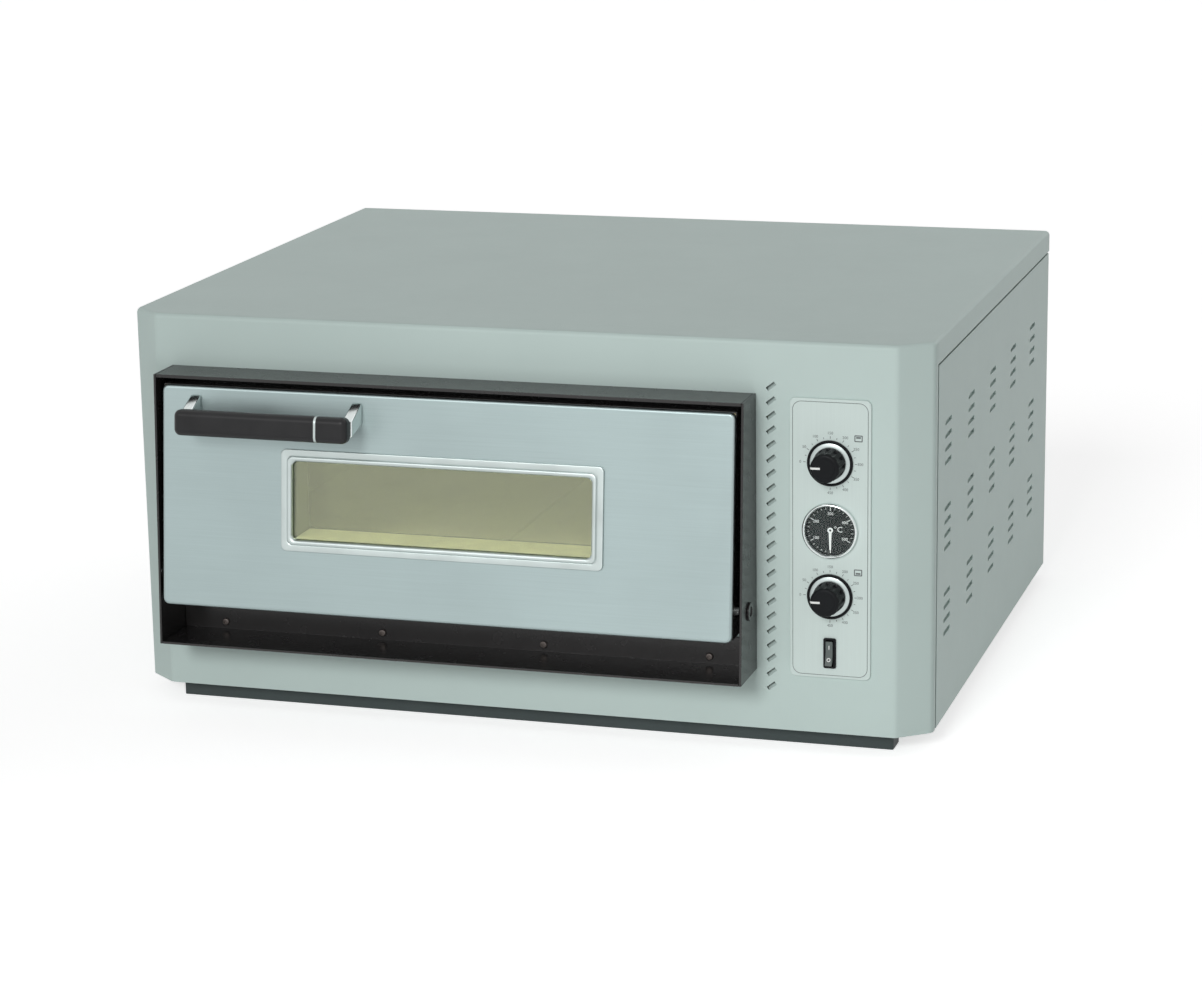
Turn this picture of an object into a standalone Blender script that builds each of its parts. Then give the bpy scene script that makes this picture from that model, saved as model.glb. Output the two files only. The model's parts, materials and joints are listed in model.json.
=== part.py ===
"""Single-deck countertop pizza oven: folded sheet casing, drop-down door, stone deck and front controls."""

import math

import bmesh
import bpy
from mathutils import Matrix, Vector

# Driving dimensions, in metres. Depths run back from the fascia's front face,
# heights up from the casing's lower edge, and widths from the casing's middle.
CASING_WIDTH = 0.900
CASING_DEPTH = 0.735
CASING_HEIGHT = 0.423
SHEET = 0.0015
FIT = 0.0003
SEAM = 0.0025
OVERCUT = 0.010
WELD = 0.00002

# Front fascia, a folded tray with bevelled sides
FASCIA_RETURN = 0.0385
FASCIA_BEVEL_WIDTH = 0.035
FASCIA_BEVEL_DEPTH = 0.028
BEND_RADIUS = 0.010
EDGE_RADIUS = 0.006
VENT_X = 0.281
VENT_TOP = 0.374
VENT_BOTTOM = 0.048
VENT_COUNT = 22
VENT_LENGTH = 0.011
VENT_HEIGHT = 0.0042
VENT_SLANT = math.radians(38)

# Lid, side panels, rear panel and base
SKIRT_HEIGHT = 0.026
PANEL_INSET = 0.0015
PANEL_FRONT_GAP = 0.006
LOUVRE_FIRST_Y = 0.099
LOUVRE_PITCH_Y = 0.1305
LOUVRE_COLUMNS = 5
LOUVRE_GROUP_TOP = 0.303
LOUVRE_GROUP_PITCH = 0.094
LOUVRE_GROUPS = 3
LOUVRE_PER_GROUP = 4
LOUVRE_PITCH_Z = 0.0145
LOUVRE_LENGTH = 0.034
LOUVRE_HEIGHT = 0.005
REAR_LOUVRE_PITCH_X = 0.200
REAR_LOUVRE_COLUMNS = 3
PAN_FLANGE = 0.030

# Plinth rails under the casing
PLINTH_HEIGHT = 0.020
PLINTH_RAIL = 0.030
PLINTH_SIDE_INSET = 0.041
PLINTH_FRONT_INSET = 0.020
PLINTH_REAR_INSET = 0.020
PLINTH_RADIUS = 0.002

# Door cradle, two cheeks, a floor and a hood in front of the fascia
DOOR_X = -0.0655
CRADLE_WIDTH = 0.656
CRADLE_SHEET = 0.0025
CRADLE_BOTTOM = 0.066
CRADLE_TOP = 0.366
CRADLE_REACH_BOTTOM = 0.068
CRADLE_REACH_TOP = 0.0515
CHEEK_FLANGE = 0.012
HOOD_LIP = 0.0035
HOOD_FLANGE = 0.010
FLOOR_FLANGE_TOP = 0.100
CRADLE_SCREW_PITCH = 0.186
CRADLE_SCREW_COUNT = 4
CRADLE_SCREW_Z = 0.0765
CRADLE_SCREW_R = 0.0025

# Hinge
HINGE_Y = -0.0335
HINGE_Z = 0.1386
PIN_R = 0.005
PIN_INSIDE = 0.016
BUSH_R = 0.0075
BUSH_FLANGE_R = 0.010
BUSH_FLANGE = 0.002

# Door, a leaning skin on an upright shell
DOOR_SIDE_GAP = 0.0065
DOOR_BOTTOM = 0.114
DOOR_TOP = 0.355
DOOR_REACH_BOTTOM = 0.075
DOOR_REACH_TOP = 0.050
SHELL_BACK = 0.0095
SHELL_BACK_BOTTOM = 0.136
SHELL_HEEL_Y = 0.034
SHELL_HEEL_RISE = 0.0015
SKIN_DEPTH = 0.006
SKIN_EDGE_R = 0.0035
SKIN_CORNER_R = 0.007
WINDOW_WIDTH = 0.338
WINDOW_HEIGHT = 0.086
WINDOW_Z = 0.237
WINDOW_CORNER_R = 0.006
WINDOW_LAP = 0.004
BEZEL_WIDTH = 0.0125
BEZEL_PROUD = 0.004
GLASS = 0.004
SLEEVE_WALL = 0.0012
WOOL_CLEARANCE = 0.002

# Handle
GRIP_LENGTH = 0.198
GRIP_HEIGHT = 0.028
GRIP_DEPTH = 0.019
GRIP_RADIUS = 0.007
GRIP_X = -0.2535
GRIP_Z = 0.3205
FINGER_GAP = 0.031
STANDOFF_WIDTH = 0.012
STANDOFF_FOOT = 0.024
STANDOFF_HEAD = 0.018
STANDOFF_RISE = 0.014
STANDOFF_RADIUS = 0.002

# Baking chamber
CHAMBER_WIDTH = 0.610
CHAMBER_DEPTH = 0.610
CHAMBER_FLOOR = 0.078
CHAMBER_ROOF = 0.292
MOUTH_WIDTH = 0.590
MOUTH_BOTTOM = 0.152
MOUTH_TOP = 0.290
MOUTH_CORNER_R = 0.008
GASKET_OFFSET = 0.009
GASKET_CORNER_R = 0.020
STONE = 0.015
DECK = 0.146
STONE_GAP = 0.002
STONE_EDGE_R = 0.0015
LEDGE_LIP = 0.006
RAIL_LEG = 0.018
RAIL_SHEET = 0.002
INSULATION_SIDE = 0.030
INSULATION_TOP = 0.055
INSULATION_REAR = 0.060

# Heating elements
ELEMENT_R = 0.004
ELEMENT_RUNS = 8
ELEMENT_PITCH = 0.072
ELEMENT_FRONT = 0.050
ELEMENT_REAR_TURN = 0.070
ELEMENT_TAIL = 0.016
LOWER_ELEMENT_Z = 0.102
UPPER_ELEMENT_Z = 0.280

# Control plate and what it carries
PLATE_X = 0.345
PLATE_WIDTH = 0.087
PLATE_BOTTOM = 0.062
PLATE_TOP = 0.364
PLATE_CORNER_R = 0.006
PLATE_SHEET = 0.0025
PLATE_EDGE_R = 0.001
UPPER_KNOB_Z = 0.296
LOWER_KNOB_Z = 0.152
GAUGE_Z = 0.2235
SWITCH_Z = 0.090
SHAFT_R = 0.003
SHAFT_HOLE_R = 0.005
SHAFT_LENGTH = 0.034
SHAFT_IN_KNOB = 0.016
SHAFT_FLAT = 0.0012
KNOB_SKIRT_R = 0.0245
KNOB_SKIRT = 0.003
KNOB_R = 0.0172
KNOB_TOP_R = 0.0155
KNOB_HEIGHT = 0.024
KNOB_EDGE = 0.003
KNOB_FLUTES = 12
KNOB_FLUTE_R = 0.0022
THERMOSTAT_WIDTH = 0.046
THERMOSTAT_HEIGHT = 0.040
THERMOSTAT_DEPTH = 0.042
GAUGE_R = 0.030
GAUGE_RIM = 0.0025
GAUGE_PROUD = 0.005
GAUGE_CASE_R = 0.0275
GAUGE_CASE_DEPTH = 0.016
GAUGE_WALL = 0.0015
DIAL = 0.001
DIAL_DROP = 0.0065
NEEDLE_LENGTH = 0.021
NEEDLE_WIDTH = 0.003
NEEDLE = 0.0006
NEEDLE_HUB_R = 0.003
NEEDLE_PIN_R = 0.001
NEEDLE_REST = math.radians(180)
GAUGE_GLASS = 0.0015
SWITCH_WIDTH = 0.0135
SWITCH_HEIGHT = 0.033
SWITCH_RIM = 0.0018
SWITCH_PROUD = 0.002
SWITCH_DEPTH = 0.018
ROCKER_HALF = 0.0132
ROCKER_MID = 0.0022
ROCKER_END = 0.0046
ROCKER_BACK = 0.005
ROCKER_TILT = math.radians(9)

# Supply at the rear
SUPPLY_X = 0.360
GLAND_Z = 0.060
GLAND_R = 0.012
GLAND_NUT_R = 0.016
GLAND_REACH = 0.018
GLAND_BORE_R = 0.005
TERMINAL_SIZE = (0.060, 0.030, 0.026)
TERMINAL_Y = 0.660
TERMINAL_WAYS = 4

# Worked out from the driving dimensions
HALF = CASING_WIDTH / 2
PANEL_TOP = CASING_HEIGHT - SKIRT_HEIGHT - SEAM
PANEL_X = HALF - PANEL_INSET
PAN_TOP = 2 * SHEET + FIT
DOOR_WIDTH = CRADLE_WIDTH - 2 * DOOR_SIDE_GAP
LEAN = math.atan((DOOR_REACH_BOTTOM - DOOR_REACH_TOP) / (DOOR_TOP - DOOR_BOTTOM))
SKIN_LENGTH = (DOOR_TOP - DOOR_BOTTOM) / math.cos(LEAN)
CHAMBER_LEFT = DOOR_X - CHAMBER_WIDTH / 2
CHAMBER_RIGHT = DOOR_X + CHAMBER_WIDTH / 2
CHAMBER_FRONT = SHEET + FIT
CHAMBER_BACK = CHAMBER_FRONT + CHAMBER_DEPTH
PLATE_FRONT = FIT + PLATE_SHEET
KNOB_BASE = PLATE_FRONT + 2 * FIT
GRIP_OUT = FINGER_GAP + GRIP_DEPTH / 2
ROCKER_PIVOT_Y = -PLATE_FRONT - ROCKER_MID

# Turns that stand an outline upright: facing forward, on the leaning skin, or facing right
FACING_FRONT = (math.pi / 2, 0, 0)
FACING_SKIN = (math.pi / 2 - LEAN, 0, 0)
FACING_SIDE = (math.pi / 2, 0, math.pi / 2)

# Colour, roughness and metallic value of each finish
FINISHES = {
    "hammer_grey": ((0.62, 0.68, 0.66), 0.45, 0.1),
    "plinth_grey": ((0.10, 0.11, 0.11), 0.6, 0.0),
    "black_enamel": ((0.03, 0.03, 0.032), 0.45, 0.0),
    "satin_steel": ((0.66, 0.71, 0.71), 0.35, 0.9),
    "bright_steel": ((0.78, 0.80, 0.80), 0.2, 1.0),
    "aluminised_steel": ((0.55, 0.54, 0.50), 0.45, 0.9),
    "element_steel": ((0.22, 0.20, 0.19), 0.5, 0.8),
    "fire_clay": ((0.78, 0.72, 0.56), 0.9, 0.0),
    "mineral_wool": ((0.72, 0.66, 0.45), 1.0, 0.0),
    "glass_rope": ((0.75, 0.74, 0.70), 0.95, 0.0),
    "clear_glass": ((0.80, 0.85, 0.82), 0.05, 0.0),
    "black_plastic": ((0.025, 0.025, 0.027), 0.4, 0.0),
    "pale_plate": ((0.74, 0.79, 0.77), 0.4, 0.3),
    "dial_black": ((0.04, 0.045, 0.045), 0.5, 0.0),
    "needle_white": ((0.85, 0.86, 0.85), 0.5, 0.0),
    "nylon_white": ((0.80, 0.79, 0.74), 0.6, 0.0),
}


def clear_scene():
    for old in list(bpy.data.objects):
        bpy.data.objects.remove(old, do_unlink=True)


def new_collection(name):
    collection = bpy.data.collections.new(name)
    bpy.context.scene.collection.children.link(collection)
    return collection


def new_axis(name, at, parent=None):
    """An empty that moving pieces hang on, with its place kept for laying them out."""
    axis = bpy.data.objects.new(name, None)
    PARTS.objects.link(axis)
    axis.parent = parent
    axis.location = at
    return axis


def origin_of(parent):
    return Vector((0, 0, 0)) if parent is ASSEMBLY else parent.location.copy()


def material(name, finish):
    colour, roughness, metallic = FINISHES[finish]
    made = bpy.data.materials.new(name)
    made.use_nodes = True
    shader = made.node_tree.nodes["Principled BSDF"]
    shader.inputs["Base Color"].default_value = (*colour, 1)
    shader.inputs["Roughness"].default_value = roughness
    shader.inputs["Metallic"].default_value = metallic
    return made


def place(piece, location, rotation, parent):
    """Puts a piece at a place given in the oven's own axes."""
    piece.parent = parent
    piece.location = Vector(location) - origin_of(parent)
    piece.rotation_euler = rotation


def add_part(name, mesh, finish, location=(0, 0, 0), rotation=(0, 0, 0), parent=None):
    piece = bpy.data.objects.new(name, mesh)
    PARTS.objects.link(piece)
    mesh.materials.append(material(name, finish))
    place(piece, location, rotation, parent or ASSEMBLY)
    return piece


def add_cutter(name, mesh, location=(0, 0, 0), rotation=(0, 0, 0), parent=None):
    tool = bpy.data.objects.new(name + "_cutter", mesh)
    CUTTERS.objects.link(tool)
    tool.hide_render = True
    tool.display_type = "WIRE"
    place(tool, location, rotation, parent or ASSEMBLY)
    return tool


def combine(piece, other, operation="DIFFERENCE"):
    step = piece.modifiers.new(operation.lower(), "BOOLEAN")
    step.operation = operation
    step.solver = "EXACT"
    step.object = other
    return piece


def finished_mesh(body, name="form"):
    bmesh.ops.recalc_face_normals(body, faces=body.faces)
    mesh = bpy.data.meshes.new(name)
    body.to_mesh(mesh)
    body.free()
    return mesh


def rounded(mesh, radius, picks, segments=3):
    """The mesh with a radius on each edge that picks() chooses."""
    body = bmesh.new()
    body.from_mesh(mesh)
    edges = [edge for edge in body.edges if picks(edge)]
    bmesh.ops.bevel(
        body, geom=edges, offset=radius, segments=segments, profile=0.5, affect="EDGES", clamp_overlap=True
    )
    return finished_mesh(body)


def block_mesh(low, high):
    """A box between two corners."""
    low = Vector(low)
    high = Vector(high)
    body = bmesh.new()
    bmesh.ops.create_cube(body, size=1.0)
    bmesh.ops.scale(body, vec=high - low, verts=body.verts)
    bmesh.ops.translate(body, vec=(low + high) / 2, verts=body.verts)
    return finished_mesh(body)


def cylinder_mesh(radius, start, end, sides=16):
    """A cylinder along Z."""
    body = bmesh.new()
    bmesh.ops.create_cone(
        body, cap_ends=True, segments=sides, radius1=radius, radius2=radius, depth=end - start
    )
    bmesh.ops.translate(body, vec=(0, 0, (start + end) / 2), verts=body.verts)
    return finished_mesh(body)


def mesh_of_curve(curve):
    """A curve's own shape as a mesh, its caps welded and its flat faces merged."""
    guide = bpy.data.objects.new("guide", curve)
    bpy.context.scene.collection.objects.link(guide)
    graph = bpy.context.evaluated_depsgraph_get()
    mesh = bpy.data.meshes.new_from_object(guide.evaluated_get(graph))
    bpy.data.objects.remove(guide)
    body = bmesh.new()
    body.from_mesh(mesh)
    bmesh.ops.remove_doubles(body, verts=body.verts, dist=WELD)
    bmesh.ops.dissolve_limit(
        body, angle_limit=math.radians(0.2), verts=body.verts[:], edges=body.edges[:]
    )
    return finished_mesh(body)


def prism_mesh(loops, start, end):
    """Outlines in XY, one inside another for holes, extruded from start to end along Z."""
    curve = bpy.data.curves.new("outline", "CURVE")
    curve.dimensions = "2D"
    curve.fill_mode = "BOTH"
    curve.extrude = (end - start) / 2
    for loop in loops:
        spline = curve.splines.new("POLY")
        spline.points.add(len(loop) - 1)
        spline.use_cyclic_u = True
        for point, (x, y) in zip(spline.points, loop):
            point.co = (x, y, 0, 1)
    mesh = mesh_of_curve(curve)
    for vertex in mesh.vertices:
        vertex.co.z += (start + end) / 2
    return mesh


def tube_curve(points, radius, cyclic=False):
    """A round bar along a path."""
    curve = bpy.data.curves.new("path", "CURVE")
    curve.dimensions = "3D"
    curve.bevel_depth = radius
    curve.bevel_resolution = 2
    curve.use_fill_caps = not cyclic
    spline = curve.splines.new("POLY")
    spline.points.add(len(points) - 1)
    spline.use_cyclic_u = cyclic
    for point, at in zip(spline.points, points):
        point.co = (*at, 1)
    return curve


def turned_part(name, profile, finish, location, rotation, parent=None, steps=28, ring=False):
    """A profile of (radius, height) points, turned about Z. A ring's profile is a closed loop."""
    body = bmesh.new()
    points = [body.verts.new((radius, 0, height)) for radius, height in profile]
    for first, second in zip(points, points[1:]):
        body.edges.new((first, second))
    if ring:
        body.edges.new((points[-1], points[0]))
    mesh = bpy.data.meshes.new(name)
    body.to_mesh(mesh)
    body.free()
    piece = add_part(name, mesh, finish, location, rotation, parent)
    turn = piece.modifiers.new("turn", "SCREW")
    turn.steps = steps
    turn.render_steps = steps
    turn.use_merge_vertices = True
    turn.merge_threshold = WELD
    turn.use_smooth_shade = True
    return piece


def circle(x, y, radius, sides=16):
    angles = [2 * math.pi * i / sides for i in range(sides)]
    return [(x + radius * math.cos(a), y + radius * math.sin(a)) for a in angles]


def rectangle(x, y, width, height, angle=0.0):
    corners = [(-0.5, -0.5), (0.5, -0.5), (0.5, 0.5), (-0.5, 0.5)]
    placed = []
    for across, up in corners:
        dx = across * width
        dy = up * height
        placed.append(
            (
                x + dx * math.cos(angle) - dy * math.sin(angle),
                y + dx * math.sin(angle) + dy * math.cos(angle),
            )
        )
    return placed


def rounded_rectangle(x, y, width, height, radius, steps=4):
    points = []
    for quarter, (side, up) in enumerate(((1, 1), (-1, 1), (-1, -1), (1, -1))):
        centre_x = x + side * (width / 2 - radius)
        centre_y = y + up * (height / 2 - radius)
        for i in range(steps + 1):
            angle = (quarter + i / steps) * math.pi / 2
            points.append((centre_x + radius * math.cos(angle), centre_y + radius * math.sin(angle)))
    return points


def inset(outline, distance):
    """A counter-clockwise outline moved in by a wall's thickness, its corners kept sharp."""
    moved = []
    count = len(outline)
    for i, corner in enumerate(outline):
        before = (Vector(corner) - Vector(outline[i - 1])).normalized()
        after = (Vector(outline[(i + 1) % count]) - Vector(corner)).normalized()
        normal_before = Vector((-before.y, before.x))
        normal_after = Vector((-after.y, after.x))
        middle = (normal_before + normal_after).normalized()
        moved.append(tuple(Vector(corner) + middle * distance / middle.dot(normal_after)))
    return moved


def skin_y(height):
    """Depth of the door skin's front face at a height."""
    return -DOOR_REACH_BOTTOM + (height - DOOR_BOTTOM) * math.tan(LEAN)


def on_skin(across, height, out):
    """A point a distance out from the skin's front face, along its normal."""
    return (across, skin_y(height) - out * math.cos(LEAN), height + out * math.sin(LEAN))


def behind_skin(height, distance):
    """Depth of a plane that lies a distance behind the skin's front face."""
    return skin_y(height) + distance / math.cos(LEAN)


def bent(outline, radius, steps=3):
    """An open counter-clockwise outline with each bend between its ends drawn as an arc."""
    points = [outline[0]]
    for before, corner, after in zip(outline, outline[1:], outline[2:]):
        corner = Vector(corner)
        back = (Vector(before) - corner).normalized()
        ahead = (Vector(after) - corner).normalized()
        half = back.angle(ahead) / 2
        middle = corner + (back + ahead).normalized() * radius / math.sin(half)
        start = corner + back * radius / math.tan(half) - middle
        turn = math.pi - 2 * half
        for i in range(steps + 1):
            angle = turn * i / steps
            points.append(tuple(middle + Matrix.Rotation(angle, 2) @ start))
    return [*points, outline[-1]]


def fascia_outline():
    return bent(
        [
            (-HALF, FASCIA_RETURN),
            (-HALF, FASCIA_BEVEL_DEPTH),
            (-HALF + FASCIA_BEVEL_WIDTH, 0),
            (HALF - FASCIA_BEVEL_WIDTH, 0),
            (HALF, FASCIA_BEVEL_DEPTH),
            (HALF, FASCIA_RETURN),
        ],
        BEND_RADIUS,
    )


def upper_front_edge(top, rear):
    """Picks a fascia's top edges, leaving the one at the rear."""

    def picks(edge):
        at_top = all(vertex.co.z > top - WELD for vertex in edge.verts)
        at_rear = all(vertex.co.y > rear - WELD for vertex in edge.verts)
        return at_top and not at_rear

    return picks


def build_fascia():
    outer = prism_mesh([fascia_outline()], 0, CASING_HEIGHT)
    outer = rounded(outer, EDGE_RADIUS, upper_front_edge(CASING_HEIGHT, FASCIA_RETURN))
    fascia = add_part("front_fascia", outer, "hammer_grey")
    open_back = FASCIA_RETURN + OVERCUT
    hollow = inset(fascia_outline(), SHEET)
    for end in (0, -1):
        hollow[end] = (hollow[end][0], open_back)
    inner_top = CASING_HEIGHT - SHEET
    inner = prism_mesh([hollow], SHEET, inner_top)
    inner = rounded(inner, EDGE_RADIUS - SHEET, upper_front_edge(inner_top, open_back))
    combine(fascia, add_cutter("fascia_hollow", inner))
    mouth_height = MOUTH_TOP - MOUTH_BOTTOM
    mouth_z = (MOUTH_TOP + MOUTH_BOTTOM) / 2
    loops = [rounded_rectangle(DOOR_X, mouth_z, MOUTH_WIDTH, mouth_height, MOUTH_CORNER_R)]
    pitch = (VENT_TOP - VENT_BOTTOM) / (VENT_COUNT - 1)
    for i in range(VENT_COUNT):
        loops.append(rectangle(VENT_X, VENT_BOTTOM + i * pitch, VENT_LENGTH, VENT_HEIGHT, VENT_SLANT))
    loops += control_holes()
    openings = prism_mesh(loops, -OVERCUT, OVERCUT)
    combine(fascia, add_cutter("fascia_openings", openings, rotation=FACING_FRONT))


def control_holes():
    """Holes that the control plate and the fascia share, in X and Z."""
    switch = rectangle(
        PLATE_X, SWITCH_Z, SWITCH_WIDTH - 2 * SWITCH_RIM + 2 * FIT, SWITCH_HEIGHT - 2 * SWITCH_RIM + 2 * FIT
    )
    return [
        circle(PLATE_X, UPPER_KNOB_Z, SHAFT_HOLE_R),
        circle(PLATE_X, LOWER_KNOB_Z, SHAFT_HOLE_R),
        circle(PLATE_X, GAUGE_Z, GAUGE_CASE_R + FIT, 28),
        switch,
    ]


def upper_edge_behind(edge):
    """Picks the top edges of a lid, leaving its open front."""
    top = all(vertex.co.z > CASING_HEIGHT - 2 * SHEET for vertex in edge.verts)
    front = all(vertex.co.y < CASING_DEPTH / 2 for vertex in edge.verts)
    return top and not front


def build_lid():
    front = FASCIA_RETURN + FIT
    bottom = CASING_HEIGHT - SKIRT_HEIGHT
    outer = block_mesh((-HALF, front, bottom), (HALF, CASING_DEPTH, CASING_HEIGHT))
    lid = add_part("top_cover", rounded(outer, EDGE_RADIUS, upper_edge_behind), "hammer_grey")
    low = (-HALF + SHEET, front - OVERCUT, bottom - OVERCUT)
    high = (HALF - SHEET, CASING_DEPTH - SHEET, CASING_HEIGHT - SHEET)
    inner = rounded(block_mesh(low, high), EDGE_RADIUS - SHEET, upper_edge_behind)
    combine(lid, add_cutter("lid_hollow", inner))


def louvre_group(across, middle):
    """One stack of slots, as outlines."""
    lowest = middle - (LOUVRE_PER_GROUP - 1) * LOUVRE_PITCH_Z / 2
    heights = [lowest + i * LOUVRE_PITCH_Z for i in range(LOUVRE_PER_GROUP)]
    return [rectangle(across, height, LOUVRE_LENGTH, LOUVRE_HEIGHT) for height in heights]


def build_panels():
    front = FASCIA_RETURN + PANEL_FRONT_GAP
    back = CASING_DEPTH - SHEET - FIT
    plate = rectangle((front + back) / 2, PANEL_TOP / 2, back - front, PANEL_TOP)
    loops = [plate]
    for column in range(LOUVRE_COLUMNS):
        for group in range(LOUVRE_GROUPS):
            across = LOUVRE_FIRST_Y + column * LOUVRE_PITCH_Y
            loops += louvre_group(across, LOUVRE_GROUP_TOP - group * LOUVRE_GROUP_PITCH)
    for name, side in (("left_side_panel", -1), ("right_side_panel", 1)):
        faces = sorted((side * (PANEL_X - SHEET), side * PANEL_X))
        add_part(name, prism_mesh(loops, *faces), "hammer_grey", rotation=FACING_SIDE)

    loops = [rectangle(0, PANEL_TOP / 2, 2 * PANEL_X, PANEL_TOP)]
    for column in range(REAR_LOUVRE_COLUMNS):
        across = (column - (REAR_LOUVRE_COLUMNS - 1) / 2) * REAR_LOUVRE_PITCH_X
        loops += louvre_group(across, LOUVRE_GROUP_TOP)
    loops.append(circle(SUPPLY_X, GLAND_Z, GLAND_R + FIT, 20))
    # The rear panel stands under the lid's rear skirt, flush with it.
    mesh = prism_mesh(loops, 0, SHEET)
    add_part("rear_panel", mesh, "hammer_grey", (0, CASING_DEPTH, 0), FACING_FRONT)


def is_upright(edge):
    return abs(edge.verts[0].co.z - edge.verts[1].co.z) > WELD


def build_base():
    side = PANEL_X - SHEET - FIT
    front = SHEET + FIT
    back = CASING_DEPTH - SHEET - FIT
    inner_side = HALF - FASCIA_BEVEL_WIDTH - 2 * SHEET
    bottom = SHEET + FIT
    # The pan's front corners follow the fascia's bevels.
    outline = [
        (-side, back),
        (-side, FASCIA_BEVEL_DEPTH + 2 * SHEET),
        (-inner_side, front),
        (inner_side, front),
        (side, FASCIA_BEVEL_DEPTH + 2 * SHEET),
        (side, back),
    ]
    pan = add_part("base_pan", prism_mesh([outline], bottom, bottom + PAN_FLANGE), "aluminised_steel")
    hollow = prism_mesh([inset(outline, SHEET)], bottom + SHEET, bottom + PAN_FLANGE + OVERCUT)
    combine(pan, add_cutter("pan_hollow", hollow))

    left = -HALF + PLINTH_SIDE_INSET
    right = HALF - PLINTH_SIDE_INSET
    near = PLINTH_FRONT_INSET
    far = CASING_DEPTH - PLINTH_REAR_INSET
    # The front rail meets the fascia's lower flange, and the rear rail the pan above it.
    rails = {
        "plinth_front_rail": ((left, near), (right, near + PLINTH_RAIL), -FIT),
        "plinth_rear_rail": ((left, far - PLINTH_RAIL), (right, far), bottom - FIT),
    }
    for name, (low, high, top) in rails.items():
        mesh = block_mesh((*low, -PLINTH_HEIGHT), (*high, top))
        add_part(name, rounded(mesh, PLINTH_RADIUS, is_upright), "plinth_grey")


def build_cradle():
    inner = CRADLE_WIDTH / 2
    outer = inner + CRADLE_SHEET
    slope = (CRADLE_REACH_BOTTOM - CRADLE_REACH_TOP) / (CRADLE_TOP - CRADLE_BOTTOM)
    below = CRADLE_BOTTOM - OVERCUT
    above = CRADLE_TOP + OVERCUT
    # The front edge of each cheek leans back as it rises.
    waste = [
        (-CRADLE_REACH_BOTTOM - OVERCUT, below),
        (-CRADLE_REACH_BOTTOM - slope * OVERCUT, below),
        (-CRADLE_REACH_TOP + slope * OVERCUT, above),
        (-CRADLE_REACH_BOTTOM - OVERCUT, above),
    ]
    flange_back = -FIT
    flange_front = -FIT - CRADLE_SHEET
    flange_top = CRADLE_TOP - HOOD_FLANGE - FIT
    for name, side in (("left", -1), ("right", 1)):
        outline = [
            (DOOR_X + side * outer, flange_back),
            (DOOR_X + side * outer, -CRADLE_REACH_BOTTOM - OVERCUT / 2),
            (DOOR_X + side * inner, -CRADLE_REACH_BOTTOM - OVERCUT / 2),
            (DOOR_X + side * inner, flange_front),
            (DOOR_X + side * (inner - CHEEK_FLANGE), flange_front),
            (DOOR_X + side * (inner - CHEEK_FLANGE), flange_back),
        ]
        cheek = add_part(
            f"cradle_{name}_cheek", prism_mesh([outline], CRADLE_BOTTOM, CRADLE_TOP), "black_enamel"
        )
        span = sorted((DOOR_X + side * (inner - OVERCUT), DOOR_X + side * (outer + OVERCUT)))
        combine(cheek, add_cutter(f"{name}_cheek_front", prism_mesh([waste], *span), rotation=FACING_SIDE))
        # The rear flange runs from the floor's flange up to the hood's.
        notch = sorted((DOOR_X + side * (inner - CHEEK_FLANGE - OVERCUT), DOOR_X + side * inner))
        for end, low, high in (("low", below, FLOOR_FLANGE_TOP + FIT), ("high", flange_top, above)):
            mesh = block_mesh((notch[0], -OVERCUT, low), (notch[1], OVERCUT, high))
            combine(cheek, add_cutter(f"{name}_cheek_{end}_notch", mesh))
        bore = cylinder_mesh(BUSH_R + FIT, -OVERCUT, OVERCUT, 20)
        at = (DOOR_X + side * outer, HINGE_Y, HINGE_Z)
        combine(cheek, add_cutter(f"{name}_bush_bore", bore, at, (0, math.pi / 2, 0)))
        build_bush(name, side, at)

    half = inner - FIT
    profile = [
        (-FIT, CRADLE_BOTTOM),
        (-FIT, FLOOR_FLANGE_TOP),
        (flange_front, FLOOR_FLANGE_TOP),
        (flange_front, CRADLE_BOTTOM + CRADLE_SHEET),
        (-CRADLE_REACH_BOTTOM, CRADLE_BOTTOM + CRADLE_SHEET),
        (-CRADLE_REACH_BOTTOM, CRADLE_BOTTOM),
    ]
    mesh = prism_mesh([profile], DOOR_X - half, DOOR_X + half)
    floor = add_part("cradle_floor", mesh, "black_enamel", rotation=FACING_SIDE)
    first = -(CRADLE_SCREW_COUNT - 1) / 2
    holes = [
        circle(DOOR_X + (first + i) * CRADLE_SCREW_PITCH, CRADLE_SCREW_Z, CRADLE_SCREW_R, 12)
        for i in range(CRADLE_SCREW_COUNT)
    ]
    combine(floor, add_cutter("floor_screws", prism_mesh(holes, -OVERCUT, OVERCUT), rotation=FACING_FRONT))

    # The hood's lip follows the front edges of the cheeks.
    lip_back = -CRADLE_REACH_TOP + CRADLE_SHEET
    under = CRADLE_TOP - CRADLE_SHEET
    profile = [
        (-FIT, CRADLE_TOP),
        (-CRADLE_REACH_TOP, CRADLE_TOP),
        (-CRADLE_REACH_TOP - slope * HOOD_LIP, CRADLE_TOP - HOOD_LIP),
        (lip_back - slope * HOOD_LIP, CRADLE_TOP - HOOD_LIP),
        (lip_back, under),
        (flange_front, under),
        (flange_front, CRADLE_TOP - HOOD_FLANGE),
        (-FIT, CRADLE_TOP - HOOD_FLANGE),
    ]
    mesh = prism_mesh([profile], DOOR_X - half, DOOR_X + half)
    add_part("cradle_hood", mesh, "black_enamel", rotation=FACING_SIDE)


def build_bush(name, side, at):
    """A flanged bush, pressed in from outside the cheek."""
    bore = PIN_R + FIT
    profile = [
        (bore, FIT + BUSH_FLANGE),
        (BUSH_FLANGE_R, FIT + BUSH_FLANGE),
        (BUSH_FLANGE_R, FIT),
        (BUSH_R, FIT),
        (BUSH_R, -CRADLE_SHEET),
        (bore, -CRADLE_SHEET),
    ]
    outward = (0, side * math.pi / 2, 0)
    turned_part(f"hinge_bush_{name}", profile, "black_enamel", at, outward, steps=20, ring=True)


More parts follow.
